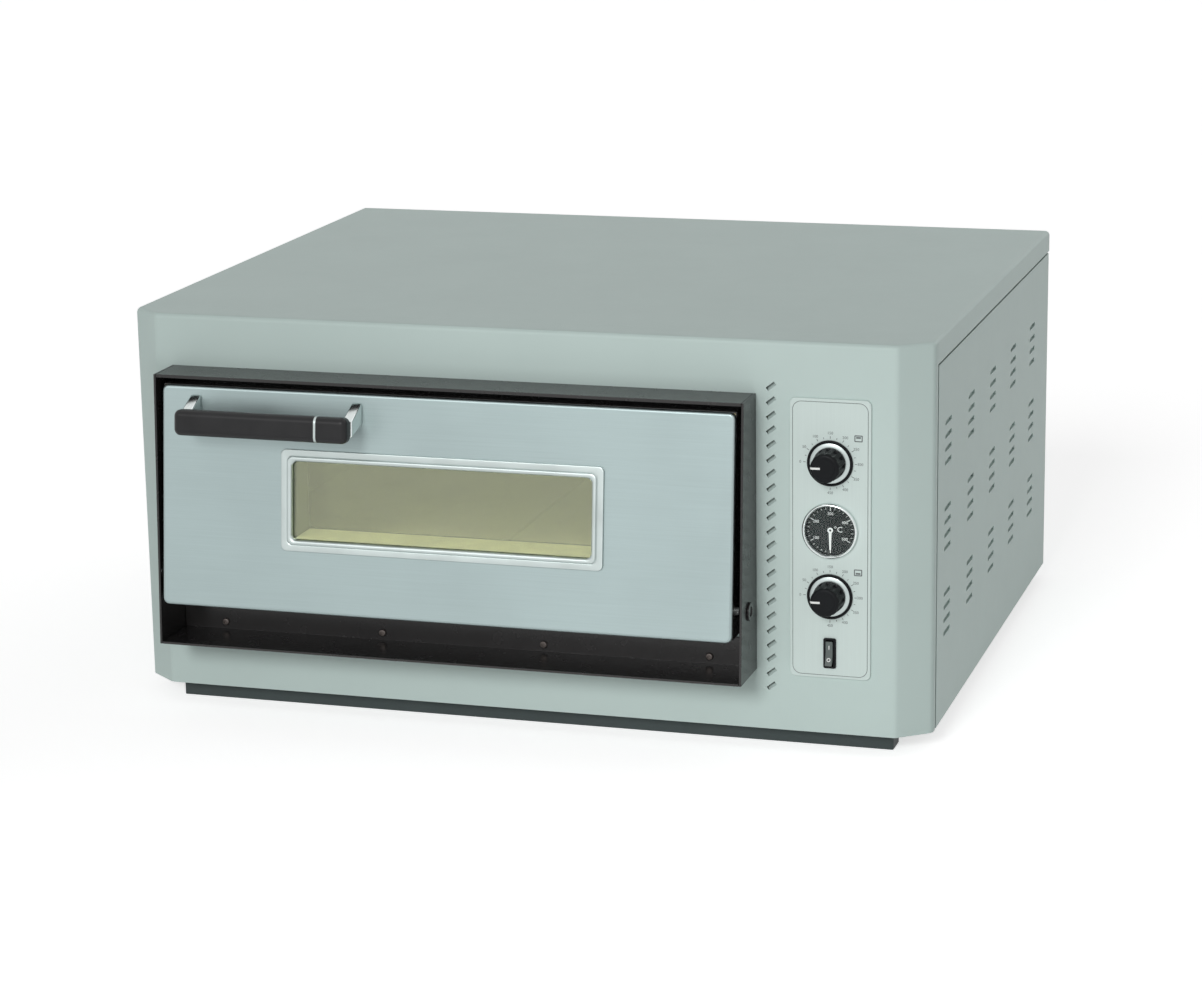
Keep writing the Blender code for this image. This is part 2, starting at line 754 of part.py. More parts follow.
def build_pin(name, side):
    """A pin fixed in the door's side, turning in the bush."""
    inner = CRADLE_WIDTH / 2 - DOOR_SIDE_GAP
    tip = CRADLE_SHEET + DOOR_SIDE_GAP + BUSH_FLANGE / 2
    shoulder = DOOR_SIDE_GAP - 2 * FIT
    profile = [
        (0, tip),
        (PIN_R, tip),
        (PIN_R, shoulder),
        (PIN_R + SHEET, shoulder),
        (PIN_R + SHEET, FIT),
        (PIN_R, FIT),
        (PIN_R, -PIN_INSIDE),
        (0, -PIN_INSIDE),
    ]
    at = (DOOR_X + side * inner, HINGE_Y, HINGE_Z)
    outward = (0, side * math.pi / 2, 0)
    turned_part(f"hinge_pin_{name}", profile, "bright_steel", at, outward, DOOR_AXIS, steps=16)


def shell_outline(wall):
    """The door shell's section in Y and Z, its front on the skin's rim, moved in by a wall."""
    front = SKIN_DEPTH + FIT
    heel = DOOR_BOTTOM + SHELL_HEEL_RISE
    outline = [
        (behind_skin(heel, front), heel),
        (-SHELL_HEEL_Y, heel),
        (-SHELL_BACK, SHELL_BACK_BOTTOM),
        (-SHELL_BACK, DOOR_TOP),
        (behind_skin(DOOR_TOP, front), DOOR_TOP),
    ]
    return inset(outline, wall) if wall else outline


def window_loop(grow, steps=4):
    return rounded_rectangle(
        0, 0, WINDOW_WIDTH + 2 * grow, WINDOW_HEIGHT + 2 * grow, WINDOW_CORNER_R, steps
    )


def window_box(grow, front, back):
    """The window's way through the door, as a section in Y and Z between two planes."""
    low = WINDOW_Z - WINDOW_HEIGHT / 2 - grow
    high = WINDOW_Z + WINDOW_HEIGHT / 2 + grow
    section = [(behind_skin(low, front), low), (-back, low), (-back, high), (behind_skin(high, front), high)]
    half = WINDOW_WIDTH / 2 + grow
    return prism_mesh([section], DOOR_X - half, DOOR_X + half)


def build_door():
    half = DOOR_WIDTH / 2
    shell = add_part(
        "door_shell",
        prism_mesh([shell_outline(0)], DOOR_X - half, DOOR_X + half),
        "black_enamel",
        rotation=FACING_SIDE,
        parent=DOOR_AXIS,
    )
    section = shell_outline(SHEET)
    forward = [section[0], section[-1]]
    hollow = [(y - OVERCUT if (y, z) in forward else y, z) for y, z in section]
    mesh = prism_mesh([hollow], DOOR_X - half + SHEET, DOOR_X + half - SHEET)
    combine(shell, add_cutter("shell_hollow", mesh, rotation=FACING_SIDE, parent=DOOR_AXIS))
    pane = prism_mesh([window_loop(0)], -OVERCUT, OVERCUT)
    at = (DOOR_X, -SHELL_BACK, WINDOW_Z)
    combine(shell, add_cutter("shell_window", pane, at, FACING_FRONT, DOOR_AXIS))
    for name, side in (("left", -1), ("right", 1)):
        at = (DOOR_X + side * half, HINGE_Y, HINGE_Z)
        bore = cylinder_mesh(PIN_R + FIT, -OVERCUT, OVERCUT, 20)
        combine(shell, add_cutter(f"{name}_pin_bore", bore, at, (0, math.pi / 2, 0), DOOR_AXIS))
        build_pin(name, side)

    build_skin()
    ring = prism_mesh([window_loop(BEZEL_WIDTH), window_loop(-FIT)], FIT, FIT + BEZEL_PROUD)
    front = FIT + BEZEL_PROUD
    ring = rounded(ring, BEZEL_PROUD / 2, lambda edge: all(v.co.z > front - WELD for v in edge.verts), 2)
    window_at = on_skin(DOOR_X, WINDOW_Z, 0)
    add_part("window_bezel", ring, "bright_steel", window_at, FACING_SKIN, DOOR_AXIS)

    behind = SHEET + FIT
    pane = prism_mesh([window_loop(WINDOW_LAP)], -behind - GLASS, -behind)
    add_part("window_outer_glass", pane, "clear_glass", window_at, FACING_SKIN, DOOR_AXIS)
    back = SHELL_BACK + SHEET + FIT
    pane = prism_mesh([window_loop(WINDOW_LAP)], back, back + GLASS)
    add_part("window_inner_glass", pane, "clear_glass", (DOOR_X, 0, WINDOW_Z), FACING_FRONT, DOOR_AXIS)

    sleeve_front = behind + GLASS + FIT
    sleeve_back = back + GLASS + FIT
    sleeve = add_part(
        "window_sleeve",
        window_box(SLEEVE_WALL, sleeve_front, sleeve_back),
        "aluminised_steel",
        rotation=FACING_SIDE,
        parent=DOOR_AXIS,
    )
    mesh = window_box(0, sleeve_front - OVERCUT, sleeve_back - OVERCUT)
    combine(sleeve, add_cutter("sleeve_hollow", mesh, rotation=FACING_SIDE, parent=DOOR_AXIS))

    section = shell_outline(SHEET + FIT)
    inner = half - SHEET - FIT
    mesh = prism_mesh([section], DOOR_X - inner, DOOR_X + inner)
    wool = add_part("door_insulation", mesh, "mineral_wool", rotation=FACING_SIDE, parent=DOOR_AXIS)
    mesh = window_box(WINDOW_LAP + WOOL_CLEARANCE, -OVERCUT, -OVERCUT)
    combine(wool, add_cutter("wool_window", mesh, rotation=FACING_SIDE, parent=DOOR_AXIS))
    for name, side in (("left", -1), ("right", 1)):
        at = (DOOR_X + side * half, HINGE_Y, HINGE_Z)
        socket = cylinder_mesh(PIN_R + FIT, -PIN_INSIDE - FIT, OVERCUT, 20)
        combine(wool, add_cutter(f"{name}_wool_pin", socket, at, (0, side * math.pi / 2, 0), DOOR_AXIS))

    build_gasket()
    build_handle()


def skin_tray(wall, back, front):
    """The skin's outline less a wall, from back to front, with its front edge rounded."""
    width = DOOR_WIDTH - 2 * wall
    length = SKIN_LENGTH - 2 * wall
    mesh = prism_mesh([rounded_rectangle(0, 0, width, length, SKIN_CORNER_R - wall)], back, front)
    return rounded(mesh, SKIN_EDGE_R - wall, lambda edge: all(v.co.z > front - WELD for v in edge.verts))


def build_skin():
    """A shallow tray whose rim stands on the shell."""
    middle = (DOOR_BOTTOM + DOOR_TOP) / 2
    at = on_skin(DOOR_X, middle, 0)
    skin = add_part("door_skin", skin_tray(0, -SKIN_DEPTH, 0), "satin_steel", at, FACING_SKIN, DOOR_AXIS)
    hollow = skin_tray(SHEET, -SKIN_DEPTH - OVERCUT, -SHEET)
    combine(skin, add_cutter("skin_hollow", hollow, at, FACING_SKIN, DOOR_AXIS))
    pane = prism_mesh([window_loop(0)], -OVERCUT, OVERCUT)
    window_at = on_skin(DOOR_X, WINDOW_Z, 0)
    combine(skin, add_cutter("skin_window", pane, window_at, FACING_SKIN, DOOR_AXIS))


def build_gasket():
    radius = (SHELL_BACK - 2 * FIT) / 2
    width = MOUTH_WIDTH + 2 * GASKET_OFFSET
    height = MOUTH_TOP - MOUTH_BOTTOM + 2 * GASKET_OFFSET
    middle = (MOUTH_TOP + MOUTH_BOTTOM) / 2
    path = rounded_rectangle(DOOR_X, middle, width, height, GASKET_CORNER_R)
    curve = tube_curve([(x, 0, z) for x, z in path], radius, cyclic=True)
    add_part("door_gasket", mesh_of_curve(curve), "glass_rope", (0, -SHELL_BACK / 2, 0), parent=DOOR_AXIS)


def build_handle():
    at = on_skin(GRIP_X, GRIP_Z, GRIP_OUT)
    half = Vector((GRIP_LENGTH, GRIP_HEIGHT, GRIP_DEPTH)) / 2
    bar = rounded(block_mesh(-half, half), GRIP_RADIUS, lambda edge: True)
    add_part("handle_grip", bar, "black_plastic", at, FACING_SKIN, DOOR_AXIS)
    # Each stand-off runs down from its foot on the skin to the back of the grip.
    head_out = FINGER_GAP - FIT
    corners = [
        (FIT, STANDOFF_RISE + STANDOFF_FOOT / 2),
        (FIT, STANDOFF_RISE - STANDOFF_FOOT / 2),
        (head_out, -STANDOFF_HEAD / 2),
        (head_out, STANDOFF_HEAD / 2),
    ]
    outline = [on_skin(0, GRIP_Z + rise, out)[1:] for out, rise in corners]
    for name, side in (("left", -1), ("right", 1)):
        end = GRIP_X + side * GRIP_LENGTH / 2
        mesh = prism_mesh([outline], *sorted((end, end - side * STANDOFF_WIDTH)))
        mesh = rounded(mesh, STANDOFF_RADIUS, lambda edge: True, 2)
        add_part(f"handle_standoff_{name}", mesh, "bright_steel", (0, 0, 0), FACING_SIDE, DOOR_AXIS)


def element_path(middle, front, turn, end):
    """A tube that runs from the rear to the front and back, with round turns, in X and Y."""
    first = middle - (ELEMENT_RUNS - 1) * ELEMENT_PITCH / 2
    bend = ELEMENT_PITCH / 2
    points = [(first, end)]
    for run in range(ELEMENT_RUNS - 1):
        across = first + run * ELEMENT_PITCH
        forward = run % 2 == 0
        level = front + bend if forward else turn - bend
        for i in range(7):
            angle = math.pi * i / 6
            reach = -bend * math.sin(angle) if forward else bend * math.sin(angle)
            points.append((across + bend - bend * math.cos(angle), level + reach))
    points.append((first + (ELEMENT_RUNS - 1) * ELEMENT_PITCH, end))
    return points


def build_chamber():
    wall_low = CHAMBER_FLOOR + FIT
    wall_high = CHAMBER_ROOF - FIT
    back = CHAMBER_BACK + SHEET
    left = CHAMBER_LEFT - SHEET
    right = CHAMBER_RIGHT + SHEET
    front = CHAMBER_FRONT
    side_end = CHAMBER_BACK - FIT
    sheets = {
        "chamber_floor": ((left, front, CHAMBER_FLOOR - SHEET), (right, back, CHAMBER_FLOOR)),
        "chamber_roof": ((left, front, CHAMBER_ROOF), (right, back, CHAMBER_ROOF + SHEET)),
        "chamber_back_wall": ((left, CHAMBER_BACK, wall_low), (right, back, wall_high)),
    }
    walls = {name: add_part(name, block_mesh(*box), "aluminised_steel") for name, box in sheets.items()}

    wool_left = left - FIT - INSULATION_SIDE
    wool_right = right + FIT + INSULATION_SIDE
    wool_back = back + FIT + INSULATION_REAR
    low = CHAMBER_FLOOR - SHEET
    high = CHAMBER_ROOF + SHEET
    top_low = high + FIT
    top_high = top_low + INSULATION_TOP
    pan_front = front + SHEET + FIT
    blankets = {
        "insulation_left": ((wool_left, front, low), (left - FIT, back, high)),
        "insulation_right": ((right + FIT, front, low), (wool_right, back, high)),
        "insulation_rear": ((wool_left, back + FIT, low), (wool_right, wool_back, high)),
        "insulation_top": ((wool_left, front, top_low), (wool_right, wool_back, top_high)),
        "insulation_bottom": ((wool_left, pan_front, PAN_TOP + FIT), (wool_right, wool_back, low - FIT)),
    }
    wool = {name: add_part(name, block_mesh(*box), "mineral_wool") for name, box in blankets.items()}

    half = (CHAMBER_WIDTH - 2 * FIT - STONE_GAP) / 2
    under_stone = DECK - STONE - FIT
    for name, side in (("left", -1), ("right", 1)):
        near = DOOR_X + side * STONE_GAP / 2
        far = near + side * half
        low = (min(near, far), CHAMBER_FRONT + FIT, DECK - STONE)
        high = (max(near, far), CHAMBER_BACK - 2 * FIT, DECK)
        slab = rounded(block_mesh(low, high), STONE_EDGE_R, lambda edge: True, 1)
        add_part(f"baking_stone_{name}", slab, "fire_clay")
        # Each side wall has a ledge with a turned-down lip, which carries the outer side of a stone.
        face = DOOR_X + side * CHAMBER_WIDTH / 2
        edge = face - side * RAIL_LEG
        section = [
            (face + side * SHEET, wall_low),
            (face + side * SHEET, wall_high),
            (face, wall_high),
            (face, under_stone),
            (edge, under_stone),
            (edge, under_stone - LEDGE_LIP),
            (edge + side * RAIL_SHEET, under_stone - LEDGE_LIP),
            (edge + side * RAIL_SHEET, under_stone - RAIL_SHEET),
            (face, under_stone - RAIL_SHEET),
            (face, wall_low),
        ]
        mesh = prism_mesh([section], -side_end, -front)
        add_part(f"chamber_{name}_wall", mesh, "aluminised_steel", rotation=FACING_FRONT)
    # A tee under the joint of the stones, carried at the front and the rear of the chamber.
    web = RAIL_SHEET / 2
    foot = under_stone - RAIL_LEG
    tee = [
        (DOOR_X - web, foot),
        (DOOR_X + web, foot),
        (DOOR_X + web, under_stone - RAIL_SHEET),
        (DOOR_X + RAIL_LEG, under_stone - RAIL_SHEET),
        (DOOR_X + RAIL_LEG, under_stone),
        (DOOR_X - RAIL_LEG, under_stone),
        (DOOR_X - RAIL_LEG, under_stone - RAIL_SHEET),
        (DOOR_X - web, under_stone - RAIL_SHEET),
    ]
    mesh = prism_mesh([tee], -CHAMBER_BACK + FIT, -CHAMBER_FRONT)
    add_part("stone_rail_centre", mesh, "aluminised_steel", rotation=FACING_FRONT)
    build_elements(walls["chamber_back_wall"], wool["insulation_rear"])


def build_elements(wall, wool):
    """A lower and an upper element, with their ends out through the rear."""
    turn = CHAMBER_BACK - ELEMENT_REAR_TURN
    end = CHAMBER_BACK + SHEET + FIT + INSULATION_REAR + ELEMENT_TAIL
    for level, height in (("lower", LOWER_ELEMENT_Z), ("upper", UPPER_ELEMENT_Z)):
        path = element_path(DOOR_X, CHAMBER_FRONT + ELEMENT_FRONT, turn, end)
        curve = tube_curve([(x, y, height) for x, y in path], ELEMENT_R)
        add_part(f"{level}_element", mesh_of_curve(curve), "element_steel")
        holes = [circle(path[i][0], height, ELEMENT_R + FIT, 12) for i in (0, -1)]
        mesh = prism_mesh(holes, -end, -CHAMBER_BACK + OVERCUT)
        tool = add_cutter(f"{level}_element_tails", mesh, rotation=FACING_FRONT)
        combine(wall, tool)
        combine(wool, tool)


def plate_edge(edge):
    """Picks the control plate's outer edge in front, and none of its holes."""
    half_width = PLATE_WIDTH / 2 - PLATE_CORNER_R
    half_height = (PLATE_TOP - PLATE_BOTTOM) / 2 - PLATE_CORNER_R
    middle = (PLATE_TOP + PLATE_BOTTOM) / 2
    return all(
        vertex.co.z > PLATE_FRONT - WELD
        and (abs(vertex.co.x - PLATE_X) > half_width - WELD or abs(vertex.co.y - middle) > half_height - WELD)
        for vertex in edge.verts
    )


def build_controls():
    middle = (PLATE_TOP + PLATE_BOTTOM) / 2
    plate = rounded_rectangle(PLATE_X, middle, PLATE_WIDTH, PLATE_TOP - PLATE_BOTTOM, PLATE_CORNER_R)
    mesh = prism_mesh([plate, *control_holes()], FIT, PLATE_FRONT)
    mesh = rounded(mesh, PLATE_EDGE_R, plate_edge, 2)
    add_part("control_plate", mesh, "pale_plate", rotation=FACING_FRONT)
    build_thermostat("upper", UPPER_KNOB_Z, UPPER_AXIS)
    build_thermostat("lower", LOWER_KNOB_Z, LOWER_AXIS)
    build_thermometer()
    build_switch()


def build_thermostat(name, height, axis):
    at = (PLATE_X, 0, height)
    low = (PLATE_X - THERMOSTAT_WIDTH / 2, SHEET + FIT, height - THERMOSTAT_HEIGHT / 2)
    high = (PLATE_X + THERMOSTAT_WIDTH / 2, SHEET + FIT + THERMOSTAT_DEPTH, height + THERMOSTAT_HEIGHT / 2)
    body = rounded(block_mesh(low, high), EDGE_RADIUS / 2, lambda edge: True, 2)
    thermostat = add_part(f"{name}_thermostat", body, "nylon_white")
    inside = SHAFT_LENGTH - SHAFT_IN_KNOB - KNOB_BASE - KNOB_SKIRT
    socket = cylinder_mesh(SHAFT_R + FIT, -inside - FIT, OVERCUT)
    combine(thermostat, add_cutter(f"{name}_shaft_socket", socket, at, FACING_FRONT))

    end = KNOB_BASE + KNOB_SKIRT + SHAFT_IN_KNOB
    rod = cylinder_mesh(SHAFT_R, -inside, end)
    shaft = add_part(f"{name}_shaft", rod, "bright_steel", at, FACING_FRONT, axis)
    flat_low = (-SHAFT_R - FIT, SHAFT_R - SHAFT_FLAT, KNOB_BASE)
    flat = block_mesh(flat_low, (SHAFT_R + FIT, SHAFT_R + OVERCUT, end + OVERCUT))
    combine(shaft, add_cutter(f"{name}_shaft_flat", flat, at, FACING_FRONT, axis))

    bore = cylinder_mesh(SHAFT_R + FIT, -OVERCUT, end + FIT)
    tool = add_cutter(f"{name}_knob_bore", bore, at, FACING_FRONT, axis)
    profile = [
        (0, KNOB_BASE + KNOB_SKIRT - FIT),
        (KNOB_R, KNOB_BASE + KNOB_SKIRT - FIT),
        (KNOB_SKIRT_R, KNOB_BASE + KNOB_SKIRT / 2),
        (KNOB_SKIRT_R, KNOB_BASE),
        (0, KNOB_BASE),
    ]
    skirt = turned_part(f"{name}_knob_skirt", profile, "bright_steel", at, FACING_FRONT, axis, steps=32)
    combine(skirt, tool)
    base = KNOB_BASE + KNOB_SKIRT
    top = base + KNOB_HEIGHT
    profile = [
        (0, top),
        (KNOB_TOP_R - KNOB_EDGE, top),
        (KNOB_TOP_R - KNOB_EDGE * 0.3, top - KNOB_EDGE * 0.3),
        (KNOB_TOP_R, top - KNOB_EDGE),
        (KNOB_R, base),
        (0, base),
    ]
    knob = turned_part(f"{name}_knob", profile, "black_plastic", at, FACING_FRONT, axis, steps=36)
    combine(knob, tool)
    flutes = []
    for i in range(KNOB_FLUTES):
        turn = 2 * math.pi * i / KNOB_FLUTES
        flutes.append(circle(KNOB_R * math.sin(turn), KNOB_R * math.cos(turn), KNOB_FLUTE_R, 8))
    mesh = prism_mesh(flutes, base + KNOB_EDGE, top + OVERCUT)
    combine(knob, add_cutter(f"{name}_knob_flutes", mesh, at, FACING_FRONT, axis))


def build_thermometer():
    at = (PLATE_X, 0, GAUGE_Z)
    rim_back = PLATE_FRONT + FIT
    rim_front = rim_back + GAUGE_PROUD
    dial_front = rim_front - DIAL_DROP
    inner = GAUGE_CASE_R - GAUGE_WALL
    case_back = -GAUGE_CASE_DEPTH
    # A cup through the plate and the fascia, with a rolled rim in front.
    profile = [
        (inner, rim_front - GAUGE_RIM / 2),
        (GAUGE_R - GAUGE_RIM, rim_front),
        (GAUGE_R - GAUGE_RIM / 3, rim_front - GAUGE_RIM / 3),
        (GAUGE_R, rim_front - GAUGE_RIM),
        (GAUGE_R, rim_back),
        (GAUGE_CASE_R, rim_back),
        (GAUGE_CASE_R, case_back),
        (0, case_back),
        (0, case_back + GAUGE_WALL),
        (inner, case_back + GAUGE_WALL),
    ]
    turned_part("thermometer_case", profile, "bright_steel", at, FACING_FRONT, steps=32, ring=True)
    needle_back = dial_front + FIT
    pin_top = needle_back + NEEDLE + FIT
    profile = [
        (0, pin_top),
        (NEEDLE_PIN_R, pin_top),
        (NEEDLE_PIN_R, dial_front),
        (inner - FIT, dial_front),
        (inner - FIT, dial_front - DIAL),
        (0, dial_front - DIAL),
    ]
    turned_part("thermometer_dial", profile, "dial_black", at, FACING_FRONT, steps=32)
    hub = [(NEEDLE_HUB_R * math.sin(a), NEEDLE_HUB_R * math.cos(a)) for a in needle_arc()]
    # The needle rests at the foot of its scale.
    outline = [(NEEDLE_WIDTH / 4, NEEDLE_LENGTH), *hub, (-NEEDLE_WIDTH / 4, NEEDLE_LENGTH)]
    turned = [turn_point(point, NEEDLE_REST) for point in outline]
    mesh = prism_mesh([turned, circle(0, 0, NEEDLE_PIN_R + FIT, 12)], needle_back, needle_back + NEEDLE)
    add_part("thermometer_needle", mesh, "needle_white", at, FACING_FRONT, NEEDLE_AXIS)
    glass_back = pin_top + FIT
    profile = [
        (0, glass_back + GAUGE_GLASS),
        (inner - FIT, glass_back + GAUGE_GLASS),
        (inner - FIT, glass_back),
        (0, glass_back),
    ]
    turned_part("thermometer_glass", profile, "clear_glass", at, FACING_FRONT, steps=32)


def needle_arc():
    """Angles round the needle's hub, clockwise from its right shoulder to its left one."""
    start = math.asin(NEEDLE_WIDTH / 2 / NEEDLE_HUB_R)
    steps = 10
    return [start + (2 * math.pi - 2 * start) * i / steps for i in range(steps + 1)]


def turn_point(point, angle):
    """A point turned clockwise, as seen from the front."""
    x, y = point
    return (x * math.cos(angle) + y * math.sin(angle), y * math.cos(angle) - x * math.sin(angle))


def build_switch():
    at = (PLATE_X, 0, SWITCH_Z)
    rim_back = PLATE_FRONT + FIT
    front = rim_back + SWITCH_PROUD
    body_width = SWITCH_WIDTH - 2 * SWITCH_RIM
    body_height = SWITCH_HEIGHT - 2 * SWITCH_RIM
    rim = prism_mesh([rounded_rectangle(0, 0, SWITCH_WIDTH, SWITCH_HEIGHT, SWITCH_RIM, 2)], rim_back, front)
    housing = add_part("switch_housing", rim, "black_plastic", at, FACING_FRONT)
    box = prism_mesh([rectangle(0, 0, body_width, body_height)], -SWITCH_DEPTH, rim_back + FIT)
    combine(housing, add_cutter("switch_body", box, at, FACING_FRONT), "UNION")
    well_width = body_width - SWITCH_RIM
    well_height = 2 * math.hypot(ROCKER_HALF, ROCKER_END) + 2 * FIT
    well = prism_mesh([rectangle(0, 0, well_width, well_height)], -SWITCH_DEPTH + SWITCH_RIM, front + OVERCUT)
    combine(housing, add_cutter("switch_well", well, at, FACING_FRONT))
    half = well_width / 2 - FIT
    # A shallow V in front, tipped to its off side at rest.
    section = [
        (-ROCKER_END, -ROCKER_HALF),
        (ROCKER_BACK, -ROCKER_HALF / 3),
        (ROCKER_BACK, ROCKER_HALF / 3),
        (-ROCKER_END, ROCKER_HALF),
        (-ROCKER_MID, 0),
    ]
    tipped = [turn_point(point, ROCKER_TILT) for point in section]
    pivot = (PLATE_X, ROCKER_PIVOT_Y, SWITCH_Z)
    mesh = prism_mesh([tipped], -half, half)
    add_part("switch_rocker", mesh, "black_plastic", pivot, FACING_SIDE, ROCKER_AXIS)


def build_supply():
    at = (SUPPLY_X, CASING_DEPTH, GLAND_Z)
    # A nut inside, a neck through the rear panel and a domed cap outside.
    profile = [
        (GLAND_BORE_R, GLAND_REACH),
        (GLAND_BORE_R * 1.5, GLAND_REACH),
        (GLAND_R, GLAND_REACH * 0.6),
        (GLAND_NUT_R, GLAND_REACH * 0.5),
        (GLAND_NUT_R, FIT),
        (GLAND_R, FIT),
        (GLAND_R, -SHEET - GLAND_REACH / 2),
        (GLAND_BORE_R, -SHEET - GLAND_REACH / 2),
    ]
    backward = (-math.pi / 2, 0, 0)
    turned_part("cable_gland", profile, "black_plastic", at, backward, steps=20, ring=True)
    width, depth, height = TERMINAL_SIZE
    low = (SUPPLY_X - width / 2, TERMINAL_Y - depth / 2, PAN_TOP + FIT)
    block = add_part(
        "terminal_block", block_mesh(low, (low[0] + width, low[1] + depth, low[2] + height)), "nylon_white"
    )
    pitch = width / TERMINAL_WAYS
    level = low[2] + height * 0.6
    ways = [circle(low[0] + (i + 0.5) * pitch, level, pitch * 0.25, 10) for i in range(TERMINAL_WAYS)]
    mesh = prism_mesh(ways, -TERMINAL_Y - depth, -TERMINAL_Y + depth)
    combine(block, add_cutter("terminal_ways", mesh, rotation=FACING_FRONT))


def grip_front():
    """How far the handle grip reaches in front of the fascia."""
    flat_height = GRIP_HEIGHT / 2 - GRIP_RADIUS
    flat_depth = GRIP_DEPTH / 2 - GRIP_RADIUS
    reach = flat_depth * math.cos(LEAN) + flat_height * math.sin(LEAN) + GRIP_RADIUS
    return -on_skin(0, GRIP_Z, GRIP_OUT)[1] + reach


clear_scene()
PARTS = new_collection("pizza_oven")
CUTTERS = new_collection("cutters")
CUTTERS.hide_render = True
REAR_REACH = CASING_DEPTH + GLAND_REACH
ASSEMBLY = new_axis("oven_origin", (0, (grip_front() - REAR_REACH) / 2, PLINTH_HEIGHT))
DOOR_AXIS = new_axis("door_hinge_axis", (DOOR_X, HINGE_Y, HINGE_Z), ASSEMBLY)
UPPER_AXIS = new_axis("upper_knob_axis", (PLATE_X, 0, UPPER_KNOB_Z), ASSEMBLY)
LOWER_AXIS = new_axis("lower_knob_axis", (PLATE_X, 0, LOWER_KNOB_Z), ASSEMBLY)
NEEDLE_AXIS = new_axis("needle_axis", (PLATE_X, 0, GAUGE_Z), ASSEMBLY)
ROCKER_AXIS = new_axis("rocker_axis", (PLATE_X, ROCKER_PIVOT_Y, SWITCH_Z), ASSEMBLY)

build_fascia()
build_lid()
build_panels()
build_base()
build_cradle()
build_door()
build_chamber()
build_controls()
build_supply()
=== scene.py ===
"""Looks of the countertop pizza oven: finishes, sheet metal, handle, controls and printed marks."""

import json
import math

import bmesh
import bpy
from mathutils import Matrix, Vector


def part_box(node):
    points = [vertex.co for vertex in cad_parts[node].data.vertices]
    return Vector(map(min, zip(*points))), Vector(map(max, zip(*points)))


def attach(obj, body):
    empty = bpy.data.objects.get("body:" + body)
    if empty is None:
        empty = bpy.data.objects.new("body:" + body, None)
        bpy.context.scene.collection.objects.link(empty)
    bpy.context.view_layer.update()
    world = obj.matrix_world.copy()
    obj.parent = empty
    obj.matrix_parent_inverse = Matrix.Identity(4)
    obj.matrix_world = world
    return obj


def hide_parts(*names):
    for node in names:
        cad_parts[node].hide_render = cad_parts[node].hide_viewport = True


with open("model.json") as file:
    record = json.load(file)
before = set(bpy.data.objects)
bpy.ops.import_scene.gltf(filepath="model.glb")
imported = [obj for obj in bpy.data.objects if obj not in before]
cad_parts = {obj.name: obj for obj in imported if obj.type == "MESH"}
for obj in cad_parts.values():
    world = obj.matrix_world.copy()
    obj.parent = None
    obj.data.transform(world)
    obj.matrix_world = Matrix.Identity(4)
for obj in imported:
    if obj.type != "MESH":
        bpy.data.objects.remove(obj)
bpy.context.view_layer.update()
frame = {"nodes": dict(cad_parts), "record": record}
NODES = frame["nodes"]

# Depths run back from the fascia's front face, heights up from the casing's lower edge, in metres
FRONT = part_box("front_fascia")[0].y
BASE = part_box("front_fascia")[0].z

# Camera, fitted to the casing's corners in an image of 1202 by 1000 pixels
IMAGE_WIDTH = 1202
FOCAL_PIXELS = 3316.65
SENSOR_MM = 36
CAMERA_AT = Vector((1.10173, FRONT - 3.27836, BASE + 1.10640))
CAMERA_YAW = math.radians(17.085)
CAMERA_PITCH = math.radians(14.160)
CAMERA_ROLL = math.radians(-0.910)

# Light: directions point from the oven to each lamp
KEY_AZIMUTH = math.radians(-4)
KEY_ELEVATION = math.radians(26)
KEY_STRENGTH = 1.10
KEY_SPREAD = math.radians(16)
FILL_AZIMUTH = math.radians(140)
FILL_ELEVATION = math.radians(26)
FILL_STRENGTH = 0.55
FILL_SPREAD = math.radians(60)
PANEL_AT = (0.15, -0.95, 0.30)
PANEL_TOWARDS = (0.32, 0.0, 0.22)
PANEL_SIZE = 0.45
PANEL_WATTS = 2.2
AMBIENT = 0.26
FLOOR_SIZE = 60.0
FLOOR_GLOW = 0.62
FLOOR_COLOUR = (0.8, 0.8, 0.8, 1)
WHITE = (1, 1, 1, 1)

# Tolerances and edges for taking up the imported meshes
WELD = 0.00001
FLAT = math.radians(0.5)
EDGE_ANGLE = math.radians(25)
EASE_SEGMENTS = 2
SMOOTH_ANGLE = math.radians(35)
FLAT_WEIGHT = 80


def local_box(name):
    """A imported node's low and high corners, measured from the fascia's face and lower edge."""
    return [corner - Vector((0, FRONT, BASE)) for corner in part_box(name)]


def centre(name):
    low, high = local_box(name)
    return (low + high) / 2


def extent(name):
    low, high = local_box(name)
    return high - low


# Sheet metal: raised face and folded front edge of the side panels
SHEET = extent("rear_panel").y
SLOTTED = ("left_side_panel", "right_side_panel", "rear_panel")
SIDES = {"left_side_panel": -1, "right_side_panel": 1}
PANEL_PROUD = 0.0012
FOLD_DEPTH = 0.014
FOLD_REACH = 0.016
FOLD_BOTTOM = 0.0325
FOLD_TOP = 0.394

# Door, window and grip
DOOR_X = centre("door_shell").x
DOOR_BOTTOM = 0.114
DOOR_TOP = 0.355
DOOR_REACH_BOTTOM = 0.075
DOOR_REACH_TOP = 0.050
LEAN = math.atan((DOOR_REACH_BOTTOM - DOOR_REACH_TOP) / (DOOR_TOP - DOOR_BOTTOM))
SHELL_BACK = -local_box("door_shell")[1].y
WINDOW_WIDTH = 0.338
WINDOW_HEIGHT = 0.086
WINDOW_Z = 0.237
WINDOW_CORNER_R = 0.006
GRIP_LENGTH = extent("handle_grip").x
GRIP_HEIGHT = 0.028
GRIP_DEPTH = 0.019
GRIP_RADIUS = 0.007
GRIP_SEGMENTS = 8
GRIP_X = centre("handle_grip").x
GRIP_Z = 0.3205
FINGER_GAP = 0.031
BAND_AT = -0.1910
BAND_WIDTH = 0.0025
BAND_PROUD = 0.0002

